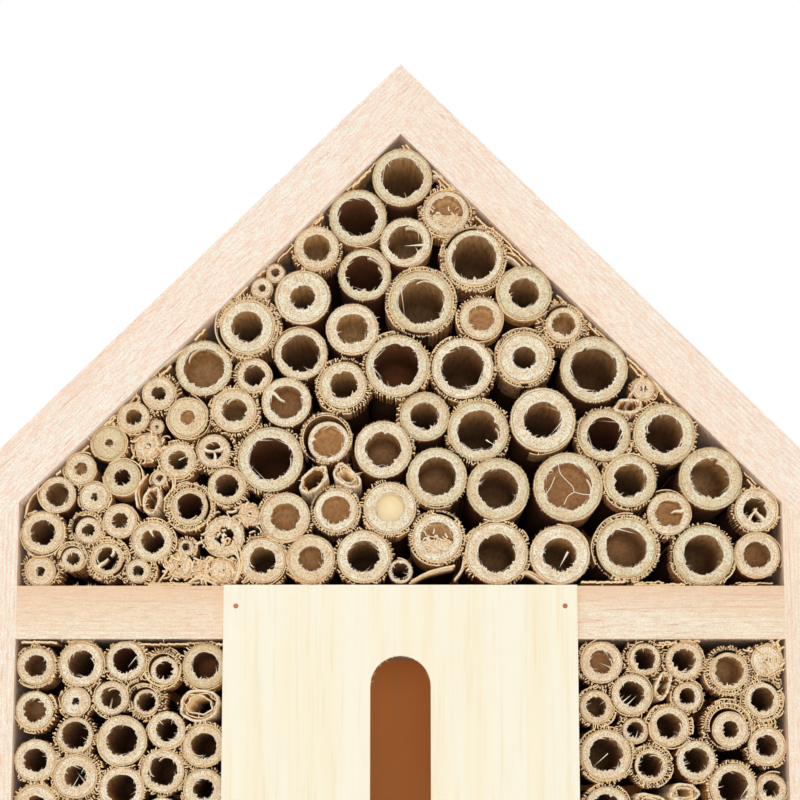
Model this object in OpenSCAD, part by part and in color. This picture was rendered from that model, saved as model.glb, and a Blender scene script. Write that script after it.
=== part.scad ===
// Insect hotel: a gabled softwood house of three storeys, 310 mm over the eaves and 480 mm high.
// The attic and two side bays are packed with reed and bamboo tubes, a plywood panel with a slot
// closes the butterfly chamber between the bays, and the ground storey holds pine cones behind
// wire mesh on each side of a stack of drilled logs.
// Frame: +Z up, +X to the right seen from the front, -Y towards the front, origin on the ground.

/* [House] */
// Clear width between the side walls
inner_w = 218; // [216:1:224]
// Thickness of the solid boards
board_t = 15; // [14:0.5:16]
// Depth of the boards from front edge to back edge
body_d = 100; // [100:1:120]
// How far the roof reaches sideways past each wall
eaves_run = 31; // [20:1:40]
// Thickness of the plywood back panel
back_t = 4; // [3:0.5:5]

/* [Storeys] */
// Clear height of the ground storey
ground_h = 171; // [170:1:180]
// Clear height of the middle storey
middle_h = 110; // [108:1:116]
// Height of the side walls above the upper shelf
knee_h = 24; // [23:0.5:28]
// Clear width of the centre bay, between the dividers
centre_w = 68; // [66:1:70]

/* [Butterfly panel] */
// Width of the plywood panel
panel_w = 100; // [94:1:100]
// Thickness of the plywood panel
panel_t = 3; // [3:0.5:5]
// Width of the entrance slot
slot_w = 17; // [12:1:20]
// Length of the entrance slot
slot_l = 100; // [60:1:100]
// Drop from the panel's top edge to the top of the slot
slot_drop = 20; // [18:1:22]

/* [Reeds] */
// Share of its listed diameter that a reed swells to where it has room
reed_swell = 1.04; // [1:0.01:1.06]
// Length of every reed
reed_l = 89; // [80:1:89]
// Thickness of the closed joint across the inside of each reed
joint_t = 2; // [1:0.5:3]
// Thinnest wall of a reed
reed_wall = 0.8; // [0.6:0.1:1]
// Air gap between neighbouring reeds, and between reeds and boards
reed_gap = 0.1; // [0.1:0.05:0.3]

/* [Ground storey] */
// Diameter of a pine cone
cone_d = 46; // [40:1:47]
// Length of a pine cone
cone_l = 54; // [48:1:55]
// Length of a drilled log
log_l = 88; // [80:1:90]
// Depth of the holes drilled in the logs
log_hole_l = 70; // [50:1:75]
// Diameter of the mesh wire
wire_d = 1; // [0.8:0.1:1.2]

/* [Fixings] */
// Diameter of the nail shanks in the frame
nail_d = 2; // [1.6:0.1:2.4]
// Diameter of the nail heads in the frame
nail_head_d = 4.4; // [3.6:0.1:5]
// Diameter of the hanging hole in the back plate
hang_hole_d = 6; // [5:0.5:8]
// Thickness of the hanging plate
hanger_t = 1.5; // [1:0.5:2]

/* [Hidden] */
$fn = 48;

// How far a cutting shape runs past the face that it opens
cut_past = 1;

// Depth: the panel stands in front of the boards and the hanging plate behind them
total_d = panel_t + body_d + hanger_t;
front_y = -total_d / 2 + panel_t;
back_y = front_y + body_d;
board_back_y = back_y - back_t;

// Width
inner_half = inner_w / 2;
outer_half = inner_half + board_t;
divider_in = centre_w / 2;
divider_out = divider_in + board_t;
divider_x = (divider_in + divider_out) / 2;

// Height, storey by storey
lower_shelf_z = board_t + ground_h;
middle_z = lower_shelf_z + board_t;
upper_shelf_z = middle_z + middle_h;
attic_z = upper_shelf_z + board_t;
attic_h = knee_h + inner_half;
ridge_in_z = attic_z + attic_h;
roof_slant = board_t / sqrt(2);
ridge_z = ridge_in_z + 2 * roof_slant;
eaves_x = outer_half + eaves_run;

// Fixings
nail_y = [front_y + 20, board_back_y - 16];
nail_head_t = 1;
nail_point_l = 3;
nail_tip_d = 0.4;
wall_nail_l = 40;
roof_nail_l = 28;
ridge_nail_l = 40;
roof_nail_edge = 4;
brad_d = 1;
brad_head_d = 1.4;
brad_head_t = 0.6;
brad_l = 20;
brad_edge = 3.5;
brad_drop = 6;
pin_d = 1.6;
pin_head_d = 3.4;
pin_head_t = 0.8;
pin_l = 18;
pin_wall_z = [40, 110, 180, 250, 320];
pin_shelf_x = 60;

// Hanging plate, screwed to the back edges of both roof boards
hanger_w = 46;
hanger_h = 14;
hanger_z = ridge_in_z - 7;
hanger_screw_x = 17;
hanger_relief_d = 7;
screw_d = 2.6;
screw_head_d = 5;
screw_l = 14;

// Mesh and staples
mesh_lap = 5;
mesh_x0 = divider_out - mesh_lap;
mesh_x1 = inner_half + mesh_lap;
mesh_z0 = 6;
mesh_z1 = lower_shelf_z - 4;
mesh_columns = 7;
mesh_rows = 16;
mesh_bite = 0.2;
mesh_thick = 2 * wire_d - mesh_bite;
mesh_tail = 2;
staple_w = 8;
staple_t = 0.8;
staple_leg = 8;
staple_rows = [2, 6, 10, 14];
staple_foot_columns = [1, 4];

// Pine cones and logs
cone_whorls = 7;
cone_waist = 0.8;
cone_lip_rise = 0.75;
cone_tilts = [50, -65, 120, 60, -40, 75, -55, 135, 45, -70, 55, -125];
log_setback = 3;
log_sizes = [[60, -3], [56, 5], [52, -6]];
log_hole_sizes = [8, 6, 5, 7, 4, 6, 5];
log_ring = 0.62;
ring_holes = len(log_hole_sizes) - 1;
log_turn = 25;

// Reeds are listed as [x, height, outer diameter, bore, setback from the front, joint depth].
// Heights are above the upper shelf in the attic, and below the ceiling in the side bays.
// Where no joint depth is given, the closed joint lies deep inside the reed.
attic_1 = [
    [-103, 4.5, 9, 3, 4], [-94, 8.5, 9, 4, 3], [-84, 8, 12, 7, 4], [-75, 4.5, 7.5, 3.5, 3],
    [-63, 6, 7.5, 1.5, 4], [-57, 5, 5.5, 1.5, 5], [-51, 5, 8, 2, 5], [-39.5, 7.5, 13, 8, 3],
    [-25.5, 8, 14, 7.5, 3, 14], [-10.5, 8.5, 15.5, 9.5, 2], [0, 4.5, 7.5, 6, 4],
    [27.5, 9.5, 18, 11.5, 2], [45.5, 9, 16.5, 10, 2], [64.5, 11, 20, 12, 2, 30],
    [86.5, 9, 17.5, 12, 2], [102, 9, 13.5, 8, 3, 16]
];
attic_2 = [
    [-102.5, 15.5, 12.5, 7.5, 3], [-90, 17, 9.5, 4, 4], [-80.5, 19, 10, 5, 4, 20],
    [-71, 13, 12, 7, 3], [-61.5, 11.5, 5.5, 3.5, 5], [-50.5, 14.5, 12, 6, 4],
    [-43.5, 21, 6.5, 1.5, 5], [-33, 20, 14.5, 8.5, 3, 16], [-18.5, 22, 14.5, 8.5, 3, 12],
    [-3, 22.5, 16, 9, 1.5, 5], [10.5, 14, 16.5, 9.5, 3, 5], [77, 21, 13.5, 8.5, 3, 10],
    [102, 22, 12.5, 7.5, 3]
];
attic_3 = [
    [-88, 26, 9, 2.5, 4], [-98.5, 26.5, 11, 7, 3, 25], [-60.5, 23, 12.5, 8, 3],
    [-50, 29, 11, 7, 3], [-80, 31.5, 11, 5, 3], [-69.5, 31.5, 5.5, 2.5, 5],
    [10.5, 31.5, 18, 11.5, 2, 35], [28, 28, 19, 12, 2], [48, 28.5, 19.5, 14, 1, 14],
    [66, 30.5, 16, 10, 3], [89, 31, 19, 12, 1.5, 40]
];
attic_4 = [
    [-92, 34, 9.5, 4, 3, 6], [-84, 41.5, 10.5, 2.5, 3, 8], [-73, 41, 8.5, 2, 5],
    [-64, 36.5, 11, 6, 3], [-54, 39.5, 10, 5.5, 5], [-37.5, 37, 19, 13, 4],
    [-21.5, 43, 15, 9.5, 3, 12], [-5, 39.5, 17.5, 10.5, 2, 30], [22.5, 45, 18.5, 12.5, 3],
    [59, 44, 16, 10.5, 4], [76, 44, 18, 11.5, 2]
];
attic_5 = [
    [-70.5, 46.5, 5, 1.5, 5], [-77, 49, 9.5, 5, 3], [-61.5, 49, 12.5, 4.5, 3, 6],
    [-48, 51, 13, 7.5, 3, 30], [-33, 53.5, 15, 10, 3, 18], [7, 49.5, 15.5, 8.5, 4],
    [41, 48, 19, 11, 1.5], [-70, 56, 10.5, 4.5, 3], [-16.5, 58.5, 14, 8.5, 3],
    [70.5, 57.5, 6.5, 2.5, 4]
];
attic_6 = [
    [-57, 63.5, 17, 12, 3, 22], [-42.5, 61.5, 11, 6.5, 4], [-29, 68, 16, 11.5, 4],
    [-1, 64, 19, 13.5, 2, 50], [18, 63.5, 18.5, 13, 3], [36, 66.5, 17.5, 7, 3],
    [56, 63, 20, 14, 2]
];
attic_7 = [
    [-44.5, 75.5, 19, 9.5, 2], [-14, 75, 16, 9.5, 3, 25], [6, 83, 20.5, 14, 2],
    [23.5, 78, 13.5, 8, 2, 7], [47.5, 76.5, 13, 7, 3, 18], [36, 85.5, 17, 9, 1.5],
    [-28.5, 84.5, 17, 7.5, 3], [-40.5, 87.5, 7, 2.5, 4]
];
attic_8 = [
    [-10.5, 91.5, 16, 11.5, 4], [-36.5, 92, 6.5, 3, 4], [-24.5, 99, 14.5, 8.5, 2, 28],
    [21.5, 96, 19, 13.5, 2], [1.5, 101, 15.5, 10.5, 3, 35], [13.5, 110, 13.5, 10, 3, 6],
    [-12.5, 108.5, 17.5, 12, 3], [0.5, 120, 18, 12.5, 1]
];
left_1 = [
    [-103.5, 7.5, 11.5, 6.5, 3, 30], [-90.5, 7, 13, 8, 3], [-78, 6, 11.5, 7.5, 3],
    [-67.5, 8, 10.5, 5.5, 4], [-55.5, 7.5, 13.5, 8, 3, 30]
];
left_2 = [
    [-92, 17.5, 9, 2.5, 4], [-82, 16.5, 10.5, 6.5, 4, 35], [-72.5, 17, 10, 5.5, 4],
    [-103.5, 20, 11.5, 7, 3, 20]
];
left_3 = [
    [-66, 25.5, 11, 6.5, 3], [-92, 27, 11, 8, 4], [-78.5, 28.5, 14.5, 9, 2],
    [-55.5, 30, 12.5, 7.5, 3], [-103, 34, 12, 7, 3]
];
left_4 = [
    [-67, 37, 12.5, 8.5, 3], [-91.5, 38.5, 13, 6.5, 3], [-78.5, 42, 13, 8.5, 3],
    [-55.5, 42, 12, 6, 4], [-102.5, 47, 12, 6.5, 3], [-67, 49, 11, 6, 3],
    [-91.5, 50, 9, 5, 4], [-79.5, 53, 8.5, 4.5, 4], [-55.5, 52.5, 8.5, 4.5, 4]
];
right_1 = [
    [57, 6.5, 12, 7, 3, 10], [69.5, 5.5, 9.5, 6.5, 4], [80.5, 6, 11, 7, 3],
    [93, 9, 14, 8.5, 2, 25], [104, 6, 10, 2.5, 3, 6]
];
right_2 = [
    [65.5, 15.5, 12.5, 7.5, 3], [81.5, 16, 8, 5, 5], [102.5, 17, 13, 7, 3],
    [55.5, 19, 10.5, 6, 4, 30]
];
right_3 = [
    [76, 24.5, 11.5, 7.5, 3], [92.5, 24.5, 14, 5, 3], [66.5, 25.5, 7.5, 5, 5],
    [103.5, 30, 11, 6.5, 4], [58, 32.5, 14.5, 10, 3]
];
right_4 = [
    [83.5, 34, 11, 7.5, 4], [70.5, 35.5, 11.5, 8, 3], [93.5, 41.5, 13.5, 9, 2],
    [104.5, 42, 9, 5, 4], [58, 47.5, 13, 8.5, 3], [70, 54, 8, 4.5, 4], [82, 52, 9.5, 6, 4],
    [93.5, 53, 9, 5, 4], [103.5, 51.5, 9.5, 5, 4]
];

// Flattened reeds are listed as [x, height, long side, short side, tilt], by the same heights
attic_crushed = [
    [-71.5, 25, 8, 4.5, 80], [-25, 31, 9.5, 5.5, 45], [-15.5, 32, 9, 5, -40],
    [66, 52.5, 8, 4, 5]
];
left_crushed = [[-57, 18.5, 12, 8.5, 0]];
right_crushed = [[74.5, 13, 8, 4, 110], [70.5, 46, 9, 5.5, 10], [80, 43, 8, 5, 0]];
crushed_setback = 4;
crushed_wall = 1.2;
deep_joint = 58;
deep_joint_spread = 24;

// The lowest part of each side bay is filled in staggered rows of five and four reeds
fill_rows = 5;
fill_columns = 5;
fill_pitch_x = 11.9;
fill_pitch_z = 10.9;
fill_d = 12;
fill_spread = 1.4;
fill_jitter = 0.7;
fill_bore = 0.58;
fill_turn = 97;
fill_setback = 3;
bay_x = (divider_out + inner_half) / 2;

attic_reeds = concat(attic_1, attic_2, attic_3, attic_4, attic_5, attic_6, attic_7, attic_8);
left_5 = fill_reeds(-1);
right_5 = fill_reeds(1);
left_reeds = concat(left_1, left_2, left_3, left_4, left_5);
right_reeds = concat(right_1, right_2, right_3, right_4, right_5);

function fill_reeds(side) = [
    for (row = [0 : fill_rows - 1], column = [0 : fill_columns - 1 - row % 2])
        let (
            turn = fill_turn * (row * fill_columns + column) * side,
            size = fill_d + fill_spread * sin(turn),
            offset = column - (fill_columns - 1 - row % 2) / 2
        )
        [
            side * (bay_x + offset * fill_pitch_x + fill_jitter * cos(turn)),
            middle_h - fill_d / 2 - row * fill_pitch_z + fill_jitter * sin(2 * turn),
            size, size * fill_bore, fill_setback + sin(3 * turn)
        ]
];

// Distance from point p to the straight line between points a and b
function line_distance(p, a, b) =
    let (along = max(0, min(1, (p - a) * (b - a) / ((b - a) * (b - a)))))
    norm(p - a - along * (b - a));

// Half the length of a flattened reed's straight side, as a vector along it
function crushed_reach(c) = (c[2] - c[3]) / 2 * [cos(c[4]), sin(c[4])];

// Room for reed r beside flattened reed c
function room_beside(r, c) =
    line_distance([r[0], r[1]], [c[0], c[1]] - crushed_reach(c), [c[0], c[1]] + crushed_reach(c))
    - c[3] / 2 - reed_gap;

// Room inside the attic, and inside a side bay
function attic_room(r) =
    min(r[1], inner_half - abs(r[0]), (attic_h - r[1] - abs(r[0])) / sqrt(2)) - reed_gap;
function bay_room(r) =
    min(r[1], middle_h - r[1], inner_half - abs(r[0]), abs(r[0]) - divider_out) - reed_gap;

// Radius that a reed keeps once it and its neighbours are squeezed until none overlap
function squeezed(r, neighbours, crushed, room) = min([
    reed_swell * r[2] / 2,
    room,
    for (o = neighbours) if (o != r)
        (norm([r[0] - o[0], r[1] - o[1]]) + reed_swell * (r[2] - o[2]) / 2 - reed_gap) / 2,
    for (c = crushed) room_beside(r, c)
]);

// Depth of the closed joint behind the mouth of a reed
function joint_depth(r) =
    len(r) > 5 ? r[5] : deep_joint + (abs(r[0]) * 7 + r[1] * 5) % deep_joint_spread;

// A nail with its head's top face at the origin, driven down -Z
module nail(length, shank_d, head_d, head_t) {
    translate([0, 0, -head_t]) cylinder(d = head_d, h = head_t);
    translate([0, 0, nail_point_l - length]) cylinder(d = shank_d, h = length - nail_point_l - head_t);
    translate([0, 0, -length]) cylinder(d1 = nail_tip_d, d2 = shank_d, h = nail_point_l);
}

// The hole that the same nail makes, open at the face of the board
module nail_hole(length, shank_d, head_d, head_t) {
    nail(length, shank_d, head_d, head_t);
    cylinder(d = head_d, h = cut_past);
}

// Places for the nails; side is -1 on the left and 1 on the right
module at_wall_nails(side)
    for (z = [board_t / 2, lower_shelf_z + board_t / 2, upper_shelf_z + board_t / 2], y = nail_y)
        translate([side * outer_half, y, z]) rotate([0, side * 90, 0]) children();

module at_roof_nails(side)
    for (y = nail_y)
        translate([
            side * (outer_half - roof_nail_edge + roof_slant), y,
            ridge_in_z - (outer_half - roof_nail_edge) + roof_slant
        ])
            rotate([0, side * 45, 0]) children();

module at_ridge_nails()
    for (y = nail_y)
        translate([-roof_slant / 2, y, ridge_z - roof_slant / 2]) rotate([0, -45, 0]) children();

module at_divider_nails(z, turn)
    for (side = [-1, 1], y = nail_y)
        translate([side * divider_x, y, z]) rotate([turn, 0, 0]) children();

module at_panel_nails()
    for (side = [-1, 1], z = [lower_shelf_z + brad_drop, attic_z - brad_drop])
        translate([side * (panel_w / 2 - brad_edge), front_y - panel_t, z])
            rotate([90, 0, 0]) children();

module at_back_nails() {
    for (side = [-1, 1], z = pin_wall_z)
        translate([side * (inner_half + board_t / 2), back_y, z]) rotate([-90, 0, 0]) children();
    for (x = [-pin_shelf_x, pin_shelf_x],
         z = [board_t / 2, lower_shelf_z + board_t / 2, upper_shelf_z + board_t / 2])
        translate([x, back_y, z]) rotate([-90, 0, 0]) children();
}

module at_hanger_screws()
    for (side = [-1, 1])
        translate([side * hanger_screw_x, back_y + hanger_t, hanger_z])
            rotate([-90, 0, 0]) children();

module frame_nail(length) nail(length, nail_d, nail_head_d, nail_head_t);
module frame_nail_hole(length) nail_hole(length, nail_d, nail_head_d, nail_head_t);
module brad() nail(brad_l, brad_d, brad_head_d, brad_head_t);
module brad_hole() nail_hole(brad_l, brad_d, brad_head_d, brad_head_t);
module pin() nail(pin_l, pin_d, pin_head_d, pin_head_t);
module pin_hole() nail_hole(pin_l, pin_d, pin_head_d, pin_head_t);

// A countersunk wood screw with its head's flat top at the origin, driven down -Z
module wood_screw() {
    head_h = (screw_head_d - screw_d) / 2;
    translate([0, 0, -head_h]) cylinder(d1 = screw_d, d2 = screw_head_d, h = head_h);
    translate([0, 0, nail_point_l - screw_l]) cylinder(d = screw_d, h = screw_l - nail_point_l - head_h);
    translate([0, 0, -screw_l]) cylinder(d1 = nail_tip_d, d2 = screw_d, h = nail_point_l);
}

// A board seen from the front: its outline is in X and Z, and it runs back from the front plane
module board(outline, depth = body_d)
    translate([0, front_y + depth, 0]) rotate([90, 0, 0]) linear_extrude(depth) polygon(outline);

module flat_board(x0, x1, z0, z1)
    translate([x0, front_y, z0]) cube([x1 - x0, body_d - back_t, z1 - z0]);

module roof_board_left()
    color("wheat") difference() {
        board([
            [0, ridge_z], [roof_slant, ridge_z - roof_slant],
            [-eaves_x + roof_slant, ridge_z - eaves_x - roof_slant], [-eaves_x, ridge_z - eaves_x]
        ]);
        at_roof_nails(-1) frame_nail_hole(roof_nail_l);
        at_ridge_nails() frame_nail_hole(ridge_nail_l);
        at_hanger_screws() wood_screw();
    }

module roof_board_right()
    color("wheat") difference() {
        board([
            [roof_slant, ridge_z - roof_slant], [eaves_x, ridge_z - eaves_x],
            [eaves_x - roof_slant, ridge_z - eaves_x - roof_slant], [0, ridge_in_z]
        ]);
        at_roof_nails(1) frame_nail_hole(roof_nail_l);
        at_ridge_nails() frame_nail(ridge_nail_l);
        at_hanger_screws() wood_screw();
    }

module side_wall(side)
    color("antiquewhite") difference() {
        board([
            [side * inner_half, 0], [side * outer_half, 0],
            [side * outer_half, ridge_in_z - outer_half], [side * inner_half, ridge_in_z - inner_half]
        ], body_d - back_t);
        at_wall_nails(side) frame_nail_hole(wall_nail_l);
        at_roof_nails(side) frame_nail(roof_nail_l);
        at_back_nails() pin();
        at_staples(side) staple_legs();
    }

module side_wall_left() side_wall(-1);
module side_wall_right() side_wall(1);

module upper_shelf()
    color("bisque") difference() {
        flat_board(-inner_half, inner_half, upper_shelf_z, attic_z);
        for (side = [-1, 1]) at_wall_nails(side) frame_nail(wall_nail_l);
        at_divider_nails(attic_z, 0) frame_nail_hole(wall_nail_l);
        at_panel_nails() brad();
        at_back_nails() pin();
    }

module lower_shelf()
    color("bisque") difference() {
        flat_board(-inner_half, inner_half, lower_shelf_z, middle_z);
        for (side = [-1, 1]) at_wall_nails(side) frame_nail(wall_nail_l);
        at_divider_nails(lower_shelf_z, 180) frame_nail_hole(wall_nail_l);
        at_panel_nails() brad();
        at_back_nails() pin();
    }

module floor_board()
    color("bisque") difference() {
        flat_board(-inner_half, inner_half, 0, board_t);
        for (side = [-1, 1]) at_wall_nails(side) frame_nail(wall_nail_l);
        at_divider_nails(0, 180) frame_nail_hole(wall_nail_l);
        at_back_nails() pin();
        for (side = [-1, 1]) at_foot_staples(side) staple_legs();
    }

module divider(side, z0, z1)
    flat_board(min(side * divider_in, side * divider_out), max(side * divider_in, side * divider_out),
        z0, z1);

module upper_divider(side)
    color("bisque") difference() {
        divider(side, middle_z, upper_shelf_z);
        at_divider_nails(attic_z, 0) frame_nail(wall_nail_l);
        at_divider_nails(lower_shelf_z, 180) frame_nail(wall_nail_l);
    }

module lower_divider(side)
    color("bisque") difference() {
        divider(side, board_t, lower_shelf_z);
        at_divider_nails(0, 180) frame_nail(wall_nail_l);
        at_staples(side) staple_legs();
    }

module upper_divider_left() upper_divider(-1);
module upper_divider_right() upper_divider(1);
module lower_divider_left() lower_divider(-1);
module lower_divider_right() lower_divider(1);

// House-shaped plywood sheet across the back of the walls and shelves, between the roof boards
module back_panel()
    color("burlywood") difference() {
        translate([0, back_y, 0]) rotate([90, 0, 0]) linear_extrude(back_t)
            polygon([
                [-outer_half, 0], [outer_half, 0], [outer_half, ridge_in_z - outer_half],
                [0, ridge_in_z], [-outer_half, ridge_in_z - outer_half]
            ]);
        at_back_nails() pin_hole();
        translate([0, back_y + cut_past, hanger_z]) rotate([90, 0, 0])
            cylinder(d = hanger_relief_d, h = back_t + 2 * cut_past);
    }

// Front panel of the butterfly chamber, with an upright slot that has round ends
module butterfly_panel()
    color("lemonchiffon") difference() {
        translate([-panel_w / 2, front_y - panel_t, lower_shelf_z])
            cube([panel_w, panel_t, attic_z - lower_shelf_z]);
        translate([0, front_y + cut_past, 0]) rotate([90, 0, 0]) linear_extrude(panel_t + 2 * cut_past) {
            for (z = [attic_z - slot_drop - slot_w / 2, attic_z - slot_drop - slot_l + slot_w / 2])
                translate([0, z]) circle(d = slot_w);
            translate([-slot_w / 2, attic_z - slot_drop - slot_l + slot_w / 2])
                square([slot_w, slot_l - slot_w]);
        }
        at_panel_nails() brad_hole();
    }

module panel_nails() color("dimgray") at_panel_nails() brad();

module roof_nails()
    color("dimgray") {
        for (side = [-1, 1]) at_roof_nails(side) frame_nail(roof_nail_l);
        at_ridge_nails() frame_nail(ridge_nail_l);
    }

module wall_nails_left() color("dimgray") at_wall_nails(-1) frame_nail(wall_nail_l);
module wall_nails_right() color("dimgray") at_wall_nails(1) frame_nail(wall_nail_l);

module divider_nails()
    color("dimgray") {
        at_divider_nails(attic_z, 0) frame_nail(wall_nail_l);
        at_divider_nails(lower_shelf_z, 180) frame_nail(wall_nail_l);
        at_divider_nails(0, 180) frame_nail(wall_nail_l);
    }

module back_panel_nails() color("dimgray") at_back_nails() pin();

// Flat steel plate with a round hanging hole and two countersunk screw holes
module hanger_plate()
    color("silver") difference() {
        translate([-hanger_w / 2, back_y, hanger_z - hanger_h / 2]) cube([hanger_w, hanger_t, hanger_h]);
        translate([0, back_y + hanger_t + cut_past, hanger_z]) rotate([90, 0, 0])
            cylinder(d = hang_hole_d, h = hanger_t + 2 * cut_past);
        at_hanger_screws() wood_screw();
    }

module hanger_screws() color("silver") at_hanger_screws() wood_screw();

// Welded mesh: level wires lie against the boards and upright wires are welded in front of them
module wire_mesh(side) {
    column_pitch = (mesh_x1 - mesh_x0) / (mesh_columns - 1);
    row_pitch = (mesh_z1 - mesh_z0) / (mesh_rows - 1);
    start_x = side > 0 ? mesh_x0 : -mesh_x1;
    color("silver") {
        for (column = [0 : mesh_columns - 1])
            translate([start_x + column * column_pitch, front_y - mesh_thick + wire_d / 2,
                       mesh_z0 - mesh_tail])
                cylinder(d = wire_d, h = mesh_z1 - mesh_z0 + 2 * mesh_tail, $fn = 8);
        for (row = [0 : mesh_rows - 1])
            translate([start_x - mesh_tail, front_y - wire_d / 2, mesh_z0 + row * row_pitch])
                rotate([0, 90, 0]) cylinder(d = wire_d, h = mesh_x1 - mesh_x0 + 2 * mesh_tail, $fn = 8);
    }
}

module wire_mesh_left() wire_mesh(-1);
module wire_mesh_right() wire_mesh(1);

// A wire staple over a mesh wire: crown along X in front of the mesh, legs back into the wood
module staple_legs()
    for (end = [-1, 1])
        translate([end * staple_w / 2 - staple_t / 2, -mesh_thick, -staple_t / 2])
            cube([staple_t, mesh_thick + staple_leg, staple_t]);

module staple() {
    translate([-(staple_w + staple_t) / 2, -mesh_thick - staple_t, -staple_t / 2])
        cube([staple_w + staple_t, staple_t, staple_t]);
    staple_legs();
}

// Staples over the outer upright wires, on the wall and on the divider, and over the lowest wire
module at_staples(side)
    for (x = [mesh_x0, mesh_x1], row = staple_rows)
        translate([side * x, front_y, mesh_z0 + (row - 0.5) * (mesh_z1 - mesh_z0) / (mesh_rows - 1)])
            children();

module at_foot_staples(side)
    for (column = staple_foot_columns)
        translate([
            side * (mesh_x0 + (column + 0.5) * (mesh_x1 - mesh_x0) / (mesh_columns - 1)),
            front_y, mesh_z0
        ])
            rotate([0, 90, 0]) children();

module mesh_staples(side)
    color("gray") {
        at_staples(side) staple();
        at_foot_staples(side) staple();
    }

module mesh_staples_left() mesh_staples(-1);
module mesh_staples_right() mesh_staples(1);

// A pine cone on its base: each whorl of scales flares out to a lip and steps back in
function cone_swell(t) = sin(180 * pow(t, 0.8) * 0.9 + 12);

module pine_cone_solid() {
    whorl_h = cone_l / cone_whorls;
    rotate_extrude()
        polygon([
            [0, 0],
            for (i = [0 : cone_whorls - 1])
                let (lip = cone_d / 2 * cone_swell((i + 0.6) / cone_whorls))
                each [[lip * cone_waist, i * whorl_h], [lip, (i + cone_lip_rise) * whorl_h]],
            [0, cone_l]
        ]);
}

// Cones 1 to 6 lie on the left and 7 to 12 on the right, in three levels of two, front and back
module pine_cone(number) {
    side = number <= 6 ? -1 : 1;
    place = (number - 1) % 6;
    level = floor(place / 2);
    deep = place % 2;
    color("saddlebrown")
        translate([
            side * bay_x,
            front_y + (board_back_y - front_y) * (deep + 0.5) / 2,
            board_t + ground_h * (level + 0.5) / 3
        ])
            rotate([0, cone_tilts[number - 1], 0]) translate([0, 0, -cone_l / 2]) pine_cone_solid();
}

module pine_cone_1() pine_cone(1);
module pine_cone_2() pine_cone(2);
module pine_cone_3() pine_cone(3);
module pine_cone_4() pine_cone(4);
module pine_cone_5() pine_cone(5);
module pine_cone_6() pine_cone(6);
module pine_cone_7() pine_cone(7);
module pine_cone_8() pine_cone(8);
module pine_cone_9() pine_cone(9);
module pine_cone_10() pine_cone(10);
module pine_cone_11() pine_cone(11);
module pine_cone_12() pine_cone(12);

// Log number k rests on the logs below it; its nest holes are one in the middle and a ring of six
function log_base(k) = k == 0 ? board_t + reed_gap : log_base(k - 1) + log_sizes[k - 1][0] + reed_gap;

module drilled_log(k) {
    size = log_sizes[k][0];
    color("peru")
        translate([log_sizes[k][1], front_y + log_setback, log_base(k) + size / 2])
            rotate([-90, log_turn * k, 0]) difference() {
                cylinder(d = size, h = log_l);
                translate([0, 0, -cut_past]) cylinder(d = log_hole_sizes[0], h = log_hole_l + cut_past);
                for (i = [1 : ring_holes])
                    rotate([0, 0, 360 / ring_holes * i]) translate([size / 2 * log_ring, 0, -cut_past])
                        cylinder(d = log_hole_sizes[i], h = log_hole_l + cut_past);
            }
}

module drilled_log_1() drilled_log(0);
module drilled_log_2() drilled_log(1);
module drilled_log_3() drilled_log(2);

// One reed, its mouth at the front; the closed joint parts the nest bore from the bore behind it
module reed(x, z, outer_r, bore_r, setback, depth)
    translate([x, front_y + setback, z]) rotate([-90, 0, 0]) difference() {
        cylinder(r = outer_r, h = reed_l);
        translate([0, 0, -cut_past]) cylinder(r = bore_r, h = depth + cut_past);
        translate([0, 0, depth + joint_t]) cylinder(r = bore_r, h = reed_l);
    }

module squeezed_reed(r, z, outer_r)
    reed(r[0], z, outer_r, min(r[3] / 2, outer_r - reed_wall), r[4], joint_depth(r));

module attic_course(reeds)
    color("khaki") for (r = reeds)
        squeezed_reed(r, attic_z + r[1], squeezed(r, attic_reeds, attic_crushed, attic_room(r)));

module bay_course(reeds, all_reeds, crushed)
    color("khaki") for (r = reeds)
        squeezed_reed(r, upper_shelf_z - r[1], squeezed(r, all_reeds, crushed, bay_room(r)));

module attic_reeds_1() attic_course(attic_1);
module attic_reeds_2() attic_course(attic_2);
module attic_reeds_3() attic_course(attic_3);
module attic_reeds_4() attic_course(attic_4);
module attic_reeds_5() attic_course(attic_5);
module attic_reeds_6() attic_course(attic_6);
module attic_reeds_7() attic_course(attic_7);
module attic_reeds_8() attic_course(attic_8);
module left_bay_reeds_1() bay_course(left_1, left_reeds, left_crushed);
module left_bay_reeds_2() bay_course(left_2, left_reeds, left_crushed);
module left_bay_reeds_3() bay_course(left_3, left_reeds, left_crushed);
module left_bay_reeds_4() bay_course(left_4, left_reeds, left_crushed);
module left_bay_reeds_5() bay_course(left_5, left_reeds, left_crushed);
module right_bay_reeds_1() bay_course(right_1, right_reeds, right_crushed);
module right_bay_reeds_2() bay_course(right_2, right_reeds, right_crushed);
module right_bay_reeds_3() bay_course(right_3, right_reeds, right_crushed);
module right_bay_reeds_4() bay_course(right_4, right_reeds, right_crushed);
module right_bay_reeds_5() bay_course(right_5, right_reeds, right_crushed);

// Flat tube with round ends, for a reed that was squashed when the house was packed
module flat_profile(long, short) {
    reach = (long - short) / 2;
    translate([-reach, -short / 2]) square([2 * reach, short]);
    for (end = [-reach, reach]) translate([end, 0]) circle(d = short);
}

module crushed_reed(c, z, tilt)
    translate([c[0], front_y + crushed_setback + reed_l, z]) rotate([90, -tilt, 0])
        linear_extrude(reed_l) difference() {
            flat_profile(c[2], c[3]);
            flat_profile(c[2] - 2 * crushed_wall, c[3] - 2 * crushed_wall);
        }

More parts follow.
